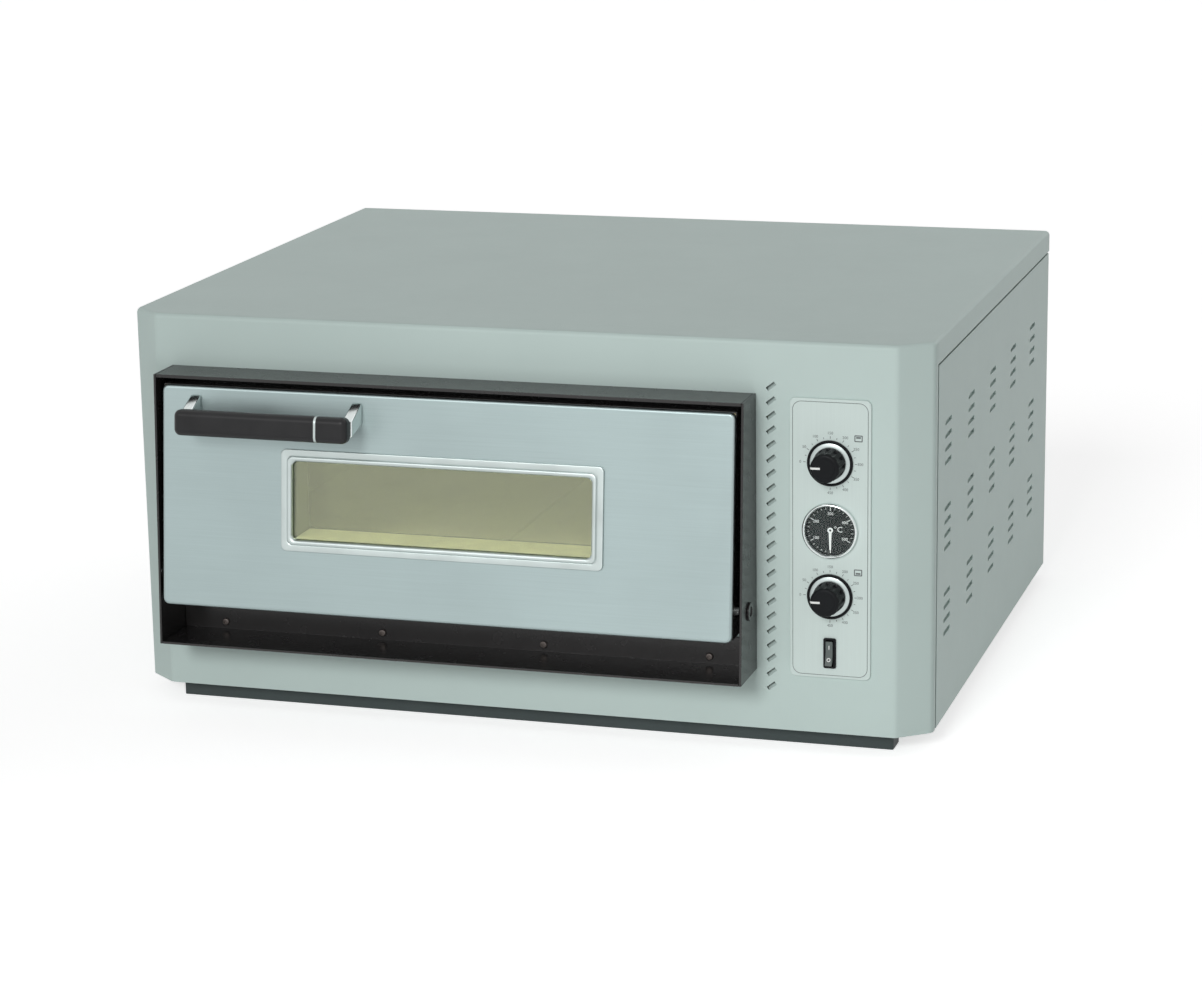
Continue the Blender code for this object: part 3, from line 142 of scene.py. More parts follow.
# Screw heads
CRADLE_SHEET = 0.0025
CRADLE_SCREWS = 4
CRADLE_SCREW_PITCH = 0.186
CRADLE_SCREW_Z = 0.0765
CRADLE_SCREW_R = 0.0042
CRADLE_SCREW_SEAT = 0.0005
REAR_SCREW_ACROSS = (-0.425, -0.142, 0.142, 0.425)
REAR_SCREW_HEIGHTS = (0.030, 0.385)
REAR_SCREW_R = 0.0038
REAR_SCREW_SEAT = 0.0001
SCREW_RISE = 0.0022
SCREW_STEPS = 36
SCREW_DOME_LEVELS = 4
SCREW_SHOULDER = 0.35
SCREW_SOCKET = 0.42
SCREW_SOCKET_FLOOR = 0.4

# Vent slots, louvres and the blades behind them
VENT_X = 0.281
VENT_TOP = 0.374
VENT_BOTTOM = 0.048
VENT_COUNT = 22
VENT_LENGTH = 0.011
VENT_HEIGHT = 0.0042
VENT_SLANT = math.radians(38)
VENT_OVERLAP = 0.001
VENT_BLADE_DEPTH = 0.0055
LOUVRE_GROUP_TOP = 0.303
LOUVRE_GROUP_PITCH = 0.094
LOUVRE_GROUPS = 3
LOUVRE_PER_GROUP = 4
LOUVRE_PITCH_Z = 0.0145
LOUVRE_LENGTH = 0.034
LOUVRE_HEIGHT = 0.005
LOUVRE_WEB = 0.008
LOUVRE_OVERLAP = 0.002
LOUVRE_BLADE_DEPTH = 0.0035
LOUVRE_FIRST_Y = 0.099
LOUVRE_PITCH_Y = 0.1305
LOUVRE_COLUMNS = 5
SIDE_COLUMNS = [LOUVRE_FIRST_Y + LOUVRE_PITCH_Y * i for i in range(LOUVRE_COLUMNS)]
REAR_COLUMNS = [-0.200, 0.0, 0.200]
BLADE_SHEET = 0.0008
BLADE_GAP = 0.0002
WEB_OVERLAP = 0.002
WEB_GAP = 0.0001

# Control plate and its printed border
PLATE_X = centre("control_plate").x
PLATE_WIDTH = extent("control_plate").x
PLATE_BOTTOM = local_box("control_plate")[0].z
PLATE_TOP = local_box("control_plate")[1].z
PLATE_FRONT = -local_box("control_plate")[0].y
BORDER_R = 0.0125
BORDER_INSET = 0.0030
BORDER_LINE = 0.0006
PRINT = 0.00008
PRINT_LIFT = 0.00002
PRINT_WELD = PRINT / 50
PRINT_CURVE_STEPS = 3

# Knobs, their pointers and scales
JOINT_RANGE = {
    row["name"]: math.radians(row["range_deg"][1] - row["range_deg"][0])
    for row in frame["record"]["behaviour"]["joints"]
}
KNOB_Z = {name: centre(f"{name}_knob").z for name in ("upper", "lower")}
KNOB_BASE = -local_box("upper_knob_skirt")[1].y
KNOB_SKIRT = -local_box("upper_knob")[1].y - KNOB_BASE
KNOB_SKIRT_R = extent("upper_knob_skirt").x / 2
KNOB_R = extent("upper_knob").x / 2
KNOB_TOP_R = 0.0155
KNOB_HEIGHT = extent("upper_knob").y
KNOB_EDGE = 0.003
KNOB_FLUTES = 12
KNOB_FLUTE_R = 0.0022
KNOB_FOOT = 0.0025
FLUTE_START = 0.0032
FLUTE_LEVELS = 8
CROWN_LEVELS = 5
KNOB_STEPS = 240
DISH_INSET = 0.0045
DISH_WALL = 0.0005
DISH_DEPTH = 0.0004
SKIRT_STEPS = 96
SHAFT_R = extent("upper_shaft").x / 2
POINTER_WIDTH = 0.0022
POINTER_START = 0.0048
POINTER_PROUD = 0.0002
POINTER_SUNK = 0.0008
POINTER_LOW = 0.35
POINTER_REST = math.radians(270)
KNOB_RANGE = JOINT_RANGE["upper_knob_turn"]
SCALE_TICKS = 19
SCALE_R = 0.0262
SCALE_STEP = 25
SCALE_NUMBER_EVERY = 2
SCALE_LINE = 0.0006
SCALE_LONG = 0.0026
SCALE_SHORT = 0.0018
SCALE_NUMBER_OUT = 0.0058
SCALE_NUMBER_SIZE = 0.0042
MARK_AT = (0.0300, 0.0275)
MARK_WIDTH = 0.0088
MARK_HEIGHT = 0.0072
MARK_R = 0.0009
MARK_LINE = 0.0011
MARK_INNER_R = 0.0004
MARK_BAR = (0.0050, 0.0019)
MARK_BAR_OFF = 0.0010

# Thermometer
GAUGE_Z = centre("thermometer_case").z
GAUGE_R = extent("thermometer_case").x / 2
GAUGE_PROUD = 0.005
GAUGE_CASE_R = 0.0275
GAUGE_CASE_DEPTH = local_box("thermometer_case")[1].y
GAUGE_WALL = 0.0015
GAUGE_SEAT = 0.0003
GAUGE_RIM_DROP = 0.0030
GAUGE_RIM_ROUND = 0.0022
GAUGE_RIM_LEVELS = 6
GAUGE_LIP_WIDTH = 0.0006
GAUGE_LIP_DROP = 0.0010
GAUGE_STEM_R = 0.004
DIAL_DROP = 0.0065
DIAL_TICKS = 26
DIAL_SCALE_R = 0.0246
DIAL_STEP = 20
DIAL_NUMBER_EVERY = 5
DIAL_LONG = (0.0007, 0.0036)
DIAL_SHORT = (0.0004, 0.0020)
DIAL_NUMBER_IN = 0.0068
DIAL_NUMBER_SIZE = 0.0044
UNIT_AT = (0.0085, 0.0010)
UNIT_SIZE = 0.0085
NEEDLE_REST = math.radians(180)
NEEDLE_RANGE = JOINT_RANGE["thermometer_needle_turn"]

# Switch
SWITCH_Z = centre("switch_housing").z
ROCKER_HALF = 0.0132
ROCKER_MID = 0.0022
ROCKER_END = 0.0046
ROCKER_TILT = JOINT_RANGE["switch_rocker_tilt"] / 2
ROCKER_LINE = (0.0009, 0.0042)
ROCKER_RING_R = 0.0021
ROCKER_RING_HOLE_R = 0.0013
ROCKER_RING_STEPS = 24

# Gasket rope
GASKET_WIDTH = 0.608
GASKET_HEIGHT = 0.156
GASKET_CORNER_R = 0.020
GASKET_Z = centre("door_gasket").z
GASKET_R = extent("door_gasket").y / 2
GASKET_CORNER_STEPS = 24
ROPE_PITCH = 0.014
STRANDS = 3
STRAND_SHARE = 0.464
STRAND_SIDES = 7
STEPS_PER_TURN = 10

# Heating elements
ELEMENT_R = extent("lower_element").z / 2
ELEMENT_SIDES = 14
ELEMENT_BEND_STEPS = 16
ELEMENT_RUNS = 8
ELEMENT_PITCH = 0.072
ELEMENT_FRONT = local_box("lower_element")[0].y + ELEMENT_R
ELEMENT_TURN = 0.5418
ELEMENT_END = local_box("lower_element")[1].y
LOWER_ELEMENT_Z = centre("lower_element").z
UPPER_ELEMENT_Z = centre("upper_element").z

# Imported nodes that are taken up, each with the radius of its eased edges, or 0 for none
EASED = {
    "front_fascia": 0.0004,
    "top_cover": 0.0004,
    "left_side_panel": 0,
    "right_side_panel": 0,
    "rear_panel": 0,
    "base_pan": 0.0003,
    "control_plate": 0,
    "plinth_front_rail": 0.0008,
    "plinth_rear_rail": 0.0008,
    "cradle_left_cheek": 0.0005,
    "cradle_right_cheek": 0.0005,
    "cradle_floor": 0.0005,
    "cradle_hood": 0.0005,
    "hinge_bush_left": 0.0003,
    "hinge_bush_right": 0.0003,
    "hinge_pin_left": 0.0003,
    "hinge_pin_right": 0.0003,
    "door_shell": 0.0005,
    "door_skin": 0,
    "handle_standoff_left": 0,
    "handle_standoff_right": 0,
    "baking_stone_left": 0.0004,
    "baking_stone_right": 0.0004,
    "chamber_floor": 0.0002,
    "chamber_roof": 0.0002,
    "chamber_left_wall": 0.0002,
    "chamber_right_wall": 0.0002,
    "chamber_back_wall": 0.0002,
    "stone_rail_centre": 0.0002,
    "switch_housing": 0.0003,
    "switch_rocker": 0.0004,
    "thermometer_dial": 0,
    "cable_gland": 0.0003,
}


def direction(azimuth, elevation):
    """Unit vector from the oven, azimuth turning from the front towards the right."""
    flat = math.cos(elevation)
    return Vector((flat * math.sin(azimuth), -flat * math.cos(azimuth), math.sin(elevation)))


def add_camera():
    forward = -direction(CAMERA_YAW, CAMERA_PITCH)
    right = Vector((math.cos(CAMERA_YAW), math.sin(CAMERA_YAW), 0))
    up = right.cross(forward)
    turned_right = math.cos(CAMERA_ROLL) * right + math.sin(CAMERA_ROLL) * up
    turned_up = -math.sin(CAMERA_ROLL) * right + math.cos(CAMERA_ROLL) * up
    data = bpy.data.cameras.new("camera")
    data.sensor_fit = "HORIZONTAL"
    data.sensor_width = SENSOR_MM
    data.lens = FOCAL_PIXELS / IMAGE_WIDTH * SENSOR_MM
    camera = bpy.data.objects.new("camera", data)
    bpy.context.scene.collection.objects.link(camera)
    turn = Matrix((turned_right, turned_up, -forward)).transposed()
    camera.matrix_world = Matrix.Translation(CAMERA_AT) @ turn.to_4x4()
    bpy.context.scene.camera = camera


def add_sun(name, azimuth, elevation, strength, angle):
    data = bpy.data.lights.new(name, "SUN")
    data.energy = strength
    data.angle = angle
    lamp = bpy.data.objects.new(name, data)
    bpy.context.scene.collection.objects.link(lamp)
    lamp.rotation_euler = direction(azimuth, elevation).to_track_quat("Z", "Y").to_euler()


def add_panel():
    """A soft panel low in front of the controls."""
    data = bpy.data.lights.new("panel", "AREA")
    data.energy = PANEL_WATTS
    data.size = PANEL_SIZE
    lamp = bpy.data.objects.new("panel", data)
    bpy.context.scene.collection.objects.link(lamp)
    at = Vector((PANEL_AT[0], FRONT + PANEL_AT[1], BASE + PANEL_AT[2]))
    towards = Vector((PANEL_TOWARDS[0], FRONT + PANEL_TOWARDS[1], BASE + PANEL_TOWARDS[2]))
    lamp.location = at
    lamp.visible_glossy = False
    lamp.rotation_euler = (at - towards).to_track_quat("Z", "Y").to_euler()


def node(tree, kind, links=None, values=None, **settings):
    """A shader node with its settings, input values and incoming links."""
    made = tree.nodes.new(kind)
    for name, value in settings.items():
        setattr(made, name, value)
    for name, value in (values or {}).items():
        made.inputs[name].default_value = value
    for name, socket in (links or {}).items():
        tree.links.new(socket, made.inputs[name])
    return made


def seen_directly(tree):
    """1 for rays that show the background itself: from the camera, a mirror or glass."""
    path = node(tree, "ShaderNodeLightPath")
    some = node(
        tree,
        "ShaderNodeMath",
        {0: path.outputs["Is Camera Ray"], 1: path.outputs["Is Glossy Ray"]},
        operation="MAXIMUM",
    )
    every = node(
        tree,
        "ShaderNodeMath",
        {0: some.outputs[0], 1: path.outputs["Is Transmission Ray"]},
        operation="MAXIMUM",
    )
    return every.outputs[0]


def add_world():
    world = bpy.data.worlds.new("studio")
    world.use_nodes = True
    bpy.context.scene.world = world
    tree = world.node_tree
    tree.nodes.clear()
    soft = node(tree, "ShaderNodeBackground", values={"Color": WHITE, "Strength": AMBIENT})
    white = node(tree, "ShaderNodeBackground", values={"Color": WHITE, "Strength": 1.0})
    mixed = node(
        tree,
        "ShaderNodeMixShader",
        {0: seen_directly(tree), 1: soft.outputs[0], 2: white.outputs[0]},
    )
    node(tree, "ShaderNodeOutputWorld", {"Surface": mixed.outputs[0]})


def add_floor():
    body = bmesh.new()
    bmesh.ops.create_grid(body, x_segments=1, y_segments=1, size=FLOOR_SIZE / 2)
    mesh = bpy.data.meshes.new("floor")
    body.to_mesh(mesh)
    body.free()
    floor = bpy.data.objects.new("floor", mesh)
    bpy.context.scene.collection.objects.link(floor)
    made = bpy.data.materials.new("floor")
    made.use_nodes = True
    tree = made.node_tree
    tree.nodes.clear()
    paper = node(tree, "ShaderNodeBsdfDiffuse", values={"Color": FLOOR_COLOUR})
    glow = node(
        tree, "ShaderNodeMath", {0: seen_directly(tree)}, {1: FLOOR_GLOW}, operation="MULTIPLY"
    )
    light = node(tree, "ShaderNodeEmission", {"Strength": glow.outputs[0]})
    both = node(tree, "ShaderNodeAddShader", {0: paper.outputs[0], 1: light.outputs[0]})
    node(tree, "ShaderNodeOutputMaterial", {"Surface": both.outputs[0]})
    mesh.materials.append(made)


def new_finish(name, colour, roughness, metallic=0.0):
    made = bpy.data.materials.new(name)
    made.use_nodes = True
    tree = made.node_tree
    shader = tree.nodes["Principled BSDF"]
    shader.inputs["Base Color"].default_value = (*colour, 1)
    shader.inputs["Roughness"].default_value = roughness
    shader.inputs["Metallic"].default_value = metallic
    return made, tree, shader


def grain(tree, scale, detail=3.0, stretch=(1, 1, 1)):
    """Noise in the oven's own metres, drawn out along an axis by a stretch under 1."""
    coordinates = node(tree, "ShaderNodeTexCoord")
    laid = node(
        tree, "ShaderNodeMapping", {"Vector": coordinates.outputs["Object"]}, {"Scale": stretch}
    )
    noise = node(
        tree, "ShaderNodeTexNoise", {"Vector": laid.outputs[0]}, {"Scale": scale, "Detail": detail}
    )
    return noise.outputs["Fac"]


def spread(tree, value, low, high, start=0.3, end=0.7):
    """A value between start and end, carried to the range from low to high."""
    mapped = node(
        tree,
        "ShaderNodeMapRange",
        {"Value": value},
        {"From Min": start, "From Max": end, "To Min": low, "To Max": high},
    )
    return mapped.outputs[0]


def mottle(tree, shader, value, first, second):
    """Base colour between two colours by a value from 0 to 1."""
    mixed = node(tree, "ShaderNodeMix", {0: value}, data_type="RGBA")
    mixed.inputs[6].default_value = (*first, 1)
    mixed.inputs[7].default_value = (*second, 1)
    tree.links.new(mixed.outputs[2], shader.inputs["Base Color"])


def dull(tree, shader, value, low, high):
    """Roughness that follows a value, from low to high."""
    tree.links.new(spread(tree, value, low, high), shader.inputs["Roughness"])


def relief(tree, shader, height, strength, distance):
    bump = node(
        tree, "ShaderNodeBump", {"Height": height}, {"Strength": strength, "Distance": distance}
    )
    tree.links.new(bump.outputs[0], shader.inputs["Normal"])


def shade(colour, factor):
    return tuple(channel * factor for channel in colour)


def painted(name, colour, roughness, peel=0.12, variation=0.04, gloss=0.5):
    """Baked paint: a faint orange peel, cloudy gloss and a little drift in the colour."""
    made, tree, shader = new_finish(name, colour, roughness)
    shader.inputs["Specular IOR Level"].default_value = gloss
    cloud = spread(tree, grain(tree, 9.0, 4.0), 0, 1)
    mottle(tree, shader, cloud, shade(colour, 1 - variation), shade(colour, 1 + variation))
    dull(tree, shader, grain(tree, 60.0, 3.0), roughness - 0.02, roughness + 0.02)
    relief(tree, shader, grain(tree, 620.0, 2.0), peel, 0.0004)
    return made


def brushed(name, colour, roughness, along=0, streak=0.10, metallic=1.0):
    """Metal with fine lines along one axis and a few broader smears."""
    made, tree, shader = new_finish(name, colour, roughness, metallic)
    stretch = [1.0, 1.0, 1.0]
    stretch[along] = 0.012
    lines = grain(tree, 900.0, 3.0, stretch)
    streaks = spread(tree, lines, 0, 1)
    mottle(tree, shader, streaks, shade(colour, 1 - streak), shade(colour, 1 + streak * 0.6))
    dull(tree, shader, grain(tree, 7.0, 4.0), roughness - 0.05, roughness + 0.08)
    relief(tree, shader, lines, 0.06, 0.0002)
    return made


def polished(name, colour, roughness):
    """Bright trim with faint handling marks."""
    made, tree, shader = new_finish(name, colour, roughness, 1.0)
    marks = grain(tree, 24.0, 3.0)
    dull(tree, shader, marks, roughness * 0.85, roughness * 1.2)
    mottle(tree, shader, spread(tree, marks, 0, 1), shade(colour, 0.96), shade(colour, 1.03))
    relief(tree, shader, grain(tree, 1400.0, 2.0), 0.02, 0.0001)
    return made


def moulded(name, colour, roughness, gloss=0.5):
    """Moulded plastic with a fine spark-eroded grain."""
    made, tree, shader = new_finish(name, colour, roughness)
    shader.inputs["Specular IOR Level"].default_value = gloss
    cloud = grain(tree, 35.0, 4.0)
    mottle(tree, shader, spread(tree, cloud, 0, 1), shade(colour, 0.85), shade(colour, 1.2))
    dull(tree, shader, cloud, roughness - 0.06, roughness + 0.08)
    relief(tree, shader, grain(tree, 1800.0, 3.0), 0.12, 0.0002)
    return made


def fibrous(name, colour):
    made, tree, shader = new_finish(name, colour, 0.95)
    strands = grain(tree, 260.0, 6.0, (1, 0.25, 0.6))
    mottle(tree, shader, spread(tree, strands, 0, 1), shade(colour, 0.7), shade(colour, 1.12))
    relief(tree, shader, strands, 0.5, 0.002)
    return made


def fire_clay(name, colour):
    """Pressed clay: sandy grain, darker specks and a soft scorch in clouds."""
    made, tree, shader = new_finish(name, colour, 0.9)
    sand = grain(tree, 420.0, 5.0)
    cloud = grain(tree, 5.0, 4.0)
    both = node(tree, "ShaderNodeMath", {0: sand, 1: cloud}, operation="MULTIPLY")
    scorch = spread(tree, both.outputs[0], 0, 1, 0.12, 0.38)
    mottle(tree, shader, scorch, shade(colour, 0.72), shade(colour, 1.08))
    relief(tree, shader, sand, 0.35, 0.0008)
    return made


def painted_light_and_shade(name, upper, shaded_wall_colour):
    """Enamel with painted light and shade: the lit colour where it faces up, as if light falls on
    the floor, and a painted shade colour on the walls, with a faint cloud in its tone.
    """
    made, tree, shader = new_finish(name, upper, 0.5)
    geometry = node(tree, "ShaderNodeNewGeometry")
    facing = node(tree, "ShaderNodeSeparateXYZ", {0: geometry.outputs["Normal"]})
    # Painted light: faces turned up take the lit colour, and the walls take the painted shade
    # colour.
    painted_light_mask = spread(tree, facing.outputs["Z"], 0, 1)
    cloud = spread(tree, grain(tree, 40.0, 4.0), 0.75, 1.0)
    both = node(tree, "ShaderNodeMath", {0: painted_light_mask, 1: cloud}, operation="MULTIPLY")
    mottle(tree, shader, both.outputs[0], shaded_wall_colour, upper)
    return made


def clear(name, tint, ior, coating=0.0):
    """Flat glass with a tint, faint cleaning smears and, where asked, a thin metal coating."""
    made, tree, shader = new_finish(name, tint, 0.02, coating)
    shader.inputs["Transmission Weight"].default_value = 1.0
    shader.inputs["IOR"].default_value = ior
    dull(tree, shader, grain(tree, 14.0, 5.0), 0.0, 0.05)
    return made


FINISHES = {
    "casing_paint": painted("casing_paint", (0.545, 0.655, 0.625), 0.50, 0.12, 0.015, 0.25),
    "plinth_paint": painted("plinth_paint", (0.048, 0.062, 0.062), 0.55, 0.2, 0.1, 0.3),
    "black_enamel": painted("black_enamel", (0.016, 0.015, 0.015), 0.26, 0.1, 0.15),
    "door_steel": brushed("door_steel", (0.352, 0.428, 0.428), 0.40, 0, 0.035),
    "bright_trim": polished("bright_trim", (0.70, 0.75, 0.74), 0.18),
    "chamber_steel": brushed("chamber_steel", (0.50, 0.49, 0.43), 0.42, 1),
    "element_steel": polished("element_steel", (0.16, 0.14, 0.13), 0.45),
    "baking_stone": fire_clay("baking_stone", (0.80, 0.75, 0.55)),
    "insulation_wool": fibrous("insulation_wool", (0.70, 0.62, 0.38)),
    "gasket_rope": fibrous("gasket_rope", (0.62, 0.60, 0.55)),
    "window_glass": clear("window_glass", (0.95, 0.97, 0.95), 1.45),
    "black_plastic": moulded("black_plastic", (0.006, 0.007, 0.008), 0.40, 0.13),
    "control_plate": brushed("control_plate", (0.63, 0.73, 0.70), 0.45, 2, 0.02, 0.0),
    "dial_face": painted("dial_face", (0.014, 0.018, 0.018), 0.6, 0.05, 0.1, 0.1),
    "needle_white": painted("needle_white", (0.80, 0.82, 0.80), 0.45, 0.05, 0.03),
    "white_plastic": moulded("white_plastic", (0.72, 0.70, 0.64), 0.5),
}
COATED_GLASS = clear("coated_glass", (0.80, 0.84, 0.62), 1.45, 0.16)
# Painted light and shade on the window sleeve: a lit cream floor and dark shaded walls.
SLEEVE_PAINTED_LIGHT = painted_light_and_shade("sleeve_painted_light", (0.88, 0.84, 0.60), (0.05, 0.06, 0.03))
SATIN_TRIM = polished("satin_trim", (0.50, 0.56, 0.55), 0.37)
GAUGE_GLASS = clear("gauge_glass", (0.97, 0.98, 0.97), 1.18)
PRINT_GREY = painted("print_grey", (0.13, 0.15, 0.15), 0.5, 0.05, 0.05)
PRINT_PALE = painted("print_pale", (0.50, 0.53, 0.52), 0.5, 0.05, 0.05)
# Painted shade: the base pan takes a dark zinc colour so that it reads dark in the seam behind the
# fascia's return.
ZINC_PAINTED_SHADE = brushed("zinc_painted_shade", (0.15, 0.16, 0.155), 0.6, 1)
GRIP_BLACK = moulded("grip_black", (0.012, 0.012, 0.013), 0.38, 0.3)
ROCKER_GREY = moulded("rocker_grey", (0.10, 0.12, 0.115), 0.42, 0.3)
OWN_FINISH = {"switch_rocker": ROCKER_GREY, "base_pan": ZINC_PAINTED_SHADE}

SLOT_OF = {row["node"]: row["material_slot"] for row in frame["record"]["subparts"]}
BODIES = frame["record"]["behaviour"]["bodies"]
BODY_OF = {name: body for body, names in BODIES.items() for name in names}


def mesh_from(body, name):
    bmesh.ops.recalc_face_normals(body, faces=body.faces)
    mesh = bpy.data.meshes.new(name)
    body.to_mesh(mesh)
    body.free()
    return mesh


def add_piece(name, mesh, body, slot, *stands_for):
    """A new piece of the oven, on a body, in a finish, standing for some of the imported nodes."""
    made = bpy.data.objects.new(name, mesh)
    bpy.context.scene.collection.objects.link(made)
    mesh.materials.append(FINISHES[slot])
    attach(made, body)
    if stands_for:
        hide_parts(*stands_for)
    return made


def smooth(piece):
    """Rounded faces shade smoothly, with flat faces keeping their own normals."""
    piece.data.shade_smooth()
    piece.data.set_sharp_from_angle(angle=SMOOTH_ANGLE)
    weighted = piece.modifiers.new("weighted_normals", "WEIGHTED_NORMAL")
    weighted.keep_sharp = True
    weighted.weight = FLAT_WEIGHT


def raise_skin(body, side):
    """The side panel's outer face, brought out almost level with the fascia and the lid."""
    outer = max(side * vert.co.x for vert in body.verts)
    for vert in body.verts:
        if side * vert.co.x > outer - WELD:
            vert.co.x += side * PANEL_PROUD


def fold_front_edge(body, side):
    """The side panel's front edge, folded inwards and then forwards behind the fascia."""
    front = min(vert.co.y for vert in body.verts)
    inner = min(side * vert.co.x for vert in body.verts)
    outline = [
        (0, 0),
        (0, SHEET),
        (FOLD_DEPTH, SHEET),
        (FOLD_DEPTH, -FOLD_REACH),
        (FOLD_DEPTH - SHEET, -FOLD_REACH),
        (FOLD_DEPTH - SHEET, 0),
    ]
    loops = [
        [(side * (inner - inwards), front + back, BASE + height) for inwards, back in outline]
        for height in (FOLD_BOTTOM, FOLD_TOP)
    ]
    join_loops(body, loops)


def round_off(body, edges, radius, segments):
    bmesh.ops.bevel(
        body,
        geom=edges,
        offset=radius,
        segments=segments,
        profile=0.5,
        affect="EDGES",
        clamp_overlap=True,
    )


def eased(name, radius):
    """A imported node's own shape with its sharp edges eased and a side panel's front folded."""
    body = bmesh.new()
    body.from_mesh(NODES[name].data)
    bmesh.ops.remove_doubles(body, verts=body.verts, dist=WELD)
    # Merging the facets would tear a slotted sheet.
    if name not in SLOTTED:
        bmesh.ops.dissolve_limit(body, angle_limit=FLAT, verts=body.verts[:], edges=body.edges[:])
    if radius:
        folds = [edge for edge in body.edges if edge.is_manifold]
        sharp = [edge for edge in folds if edge.calc_face_angle() > EDGE_ANGLE]
        round_off(body, sharp, radius, EASE_SEGMENTS)
    if name in SIDES:
        raise_skin(body, SIDES[name])
        fold_front_edge(body, SIDES[name])
    made = add_piece(f"{name}_formed", mesh_from(body, name), BODY_OF[name], SLOT_OF[name], name)
    if name in OWN_FINISH:
        made.data.materials[0] = OWN_FINISH[name]
    smooth(made)


def front_frame(across, height):
    """Local x to the right, y up and z out of the fascia."""
    return Matrix.Translation((across, FRONT, BASE + height)) @ Matrix.Rotation(math.pi / 2, 4, "X")


def skin_frame(across, height):
    """Local x to the right, y up along the door's skin and z out of it."""
    reach = DOOR_REACH_BOTTOM - (height - DOOR_BOTTOM) * math.tan(LEAN)
    at = Matrix.Translation((across, FRONT - reach, BASE + height))
    return at @ Matrix.Rotation(math.pi / 2 - LEAN, 4, "X")


def join_loops(body, loops, place=Matrix(), ring=False):
    """A closed surface through equal loops, capped at both ends or run into a ring."""
    rows = [[body.verts.new(place @ Vector(point)) for point in loop] for loop in loops]
    count = len(rows[0])
    pairs = list(zip(rows, rows[1:]))
    if ring:
        pairs.append((rows[-1], rows[0]))
    for near, far in pairs:
        for i in range(count):
            body.faces.new((near[i - 1], near[i], far[i], far[i - 1]))
    if not ring:
        body.faces.new(rows[0])
        body.faces.new(rows[-1])


def circle(radius, level, steps):
    turns = [2 * math.pi * i / steps for i in range(steps)]
    return [(radius * math.sin(turn), radius * math.cos(turn), level) for turn in turns]


def lathe(body, profile, place, steps, ring=False):
    """A profile of radius and level, turned about local z."""
    join_loops(body, [circle(radius, level, steps) for radius, level in profile], place, ring)


def rounded_rectangle(width, height, radius, level=0.0, steps=8):
    points = []
    for quarter in range(4):
        turn = math.pi / 2 * quarter
        side_x = 1 if quarter in (0, 3) else -1
        side_y = 1 if quarter in (0, 1) else -1
        for i in range(steps + 1):
            angle = turn + math.pi / 2 * i / steps
            x = side_x * (width / 2 - radius) + radius * math.cos(angle)
            y = side_y * (height / 2 - radius) + radius * math.sin(angle)
            points.append((x, y, level))
    return points


def slab(body, outline, low, high, place):
    """A flat prism on an outline of x and y."""
    join_loops(body, [[(x, y, low) for x, y in outline], [(x, y, high) for x, y in outline]], place)


def bar(across, up, width, height, angle=0.0):
    """A rectangle's corners, turned clockwise about local z seen from in front."""
    x, y = width / 2, height / 2
    corners = [(-x, -y), (x, -y), (x, y), (-x, y)]
    sine, cosine = math.sin(angle), math.cos(angle)
    return [(across + x * cosine + y * sine, up + y * cosine - x * sine) for x, y in corners]


def on_clock(radius, angle):
    return radius * math.sin(angle), radius * math.cos(angle)


def tube(body, path, radius, sides, closed=False, place=Matrix()):
    """A round tube along a path of points that has no sharp turns."""
    count = len(path)
    points = [Vector(point) for point in path]
    side = None
    loops = []
    for i, point in enumerate(points):
        after = points[(i + 1) % count] if closed or i + 1 < count else point
        before = points[i - 1] if closed or i else point
        along = (after - before).normalized()
        if side is None:
            side = along.orthogonal().normalized()
        side = (side - along * side.dot(along)).normalized()
        up = along.cross(side)
        loop = []
        for k in range(sides):
            turn = 2 * math.pi * k / sides
            loop.append(point + radius * (math.cos(turn) * side + math.sin(turn) * up))
        loops.append(loop)
    join_loops(body, loops, place, closed)


def text_into(body, words, size, place):
    """Raised printing, centred on the frame's origin."""
    curve = bpy.data.curves.new("words", "FONT")
    curve.body = words
    curve.size = size
    curve.align_x = "CENTER"
    curve.align_y = "CENTER"
    curve.extrude = PRINT / 2
    curve.resolution_u = PRINT_CURVE_STEPS
    carrier = bpy.data.objects.new("words", curve)
    bpy.context.scene.collection.objects.link(carrier)
    graph = bpy.context.evaluated_depsgraph_get()
    mesh = bpy.data.meshes.new_from_object(carrier.evaluated_get(graph))
    letters = bmesh.new()
    letters.from_mesh(mesh)
    bmesh.ops.remove_doubles(letters, verts=letters.verts, dist=PRINT_WELD)
    letters.to_mesh(mesh)
    letters.free()
    mesh.transform(place @ Matrix.Translation((0, 0, PRINT / 2 + PRINT_LIFT)))
    body.from_mesh(mesh)
    bpy.data.meshes.remove(mesh)
    bpy.data.objects.remove(carrier)
    bpy.data.curves.remove(curve)


def piece_of(body, name, on_body, slot, *stands_for, finish=None):
    made = add_piece(name, mesh_from(body, name), on_body, slot, *stands_for)
    if finish:
        made.data.materials[0] = finish
    smooth(made)


def make_bezel():
    """A stepped frame round the window: outer edge, flat, groove and a raised inner lip."""
    section = [
        (-0.0002, 0.0003),
        (0.0125, 0.0003),
        (0.0125, 0.0016),
        (0.0121, 0.0023),
        (0.0113, 0.0026),
        (0.0062, 0.0026),
        (0.0056, 0.0022),
        (0.0050, 0.0026),
        (0.0044, 0.0039),
        (0.0036, 0.0043),
        (0.0018, 0.0043),
        (0.0006, 0.0036),
        (-0.0002, 0.0022),
    ]
    body = bmesh.new()
    loops = [
        rounded_rectangle(WINDOW_WIDTH + 2 * out, WINDOW_HEIGHT + 2 * out, WINDOW_CORNER_R, level)
        for out, level in section
    ]
    join_loops(body, loops, skin_frame(DOOR_X, WINDOW_Z), ring=True)
    piece_of(body, "window_bezel_formed", "door", "bright_trim", "window_bezel", finish=SATIN_TRIM)


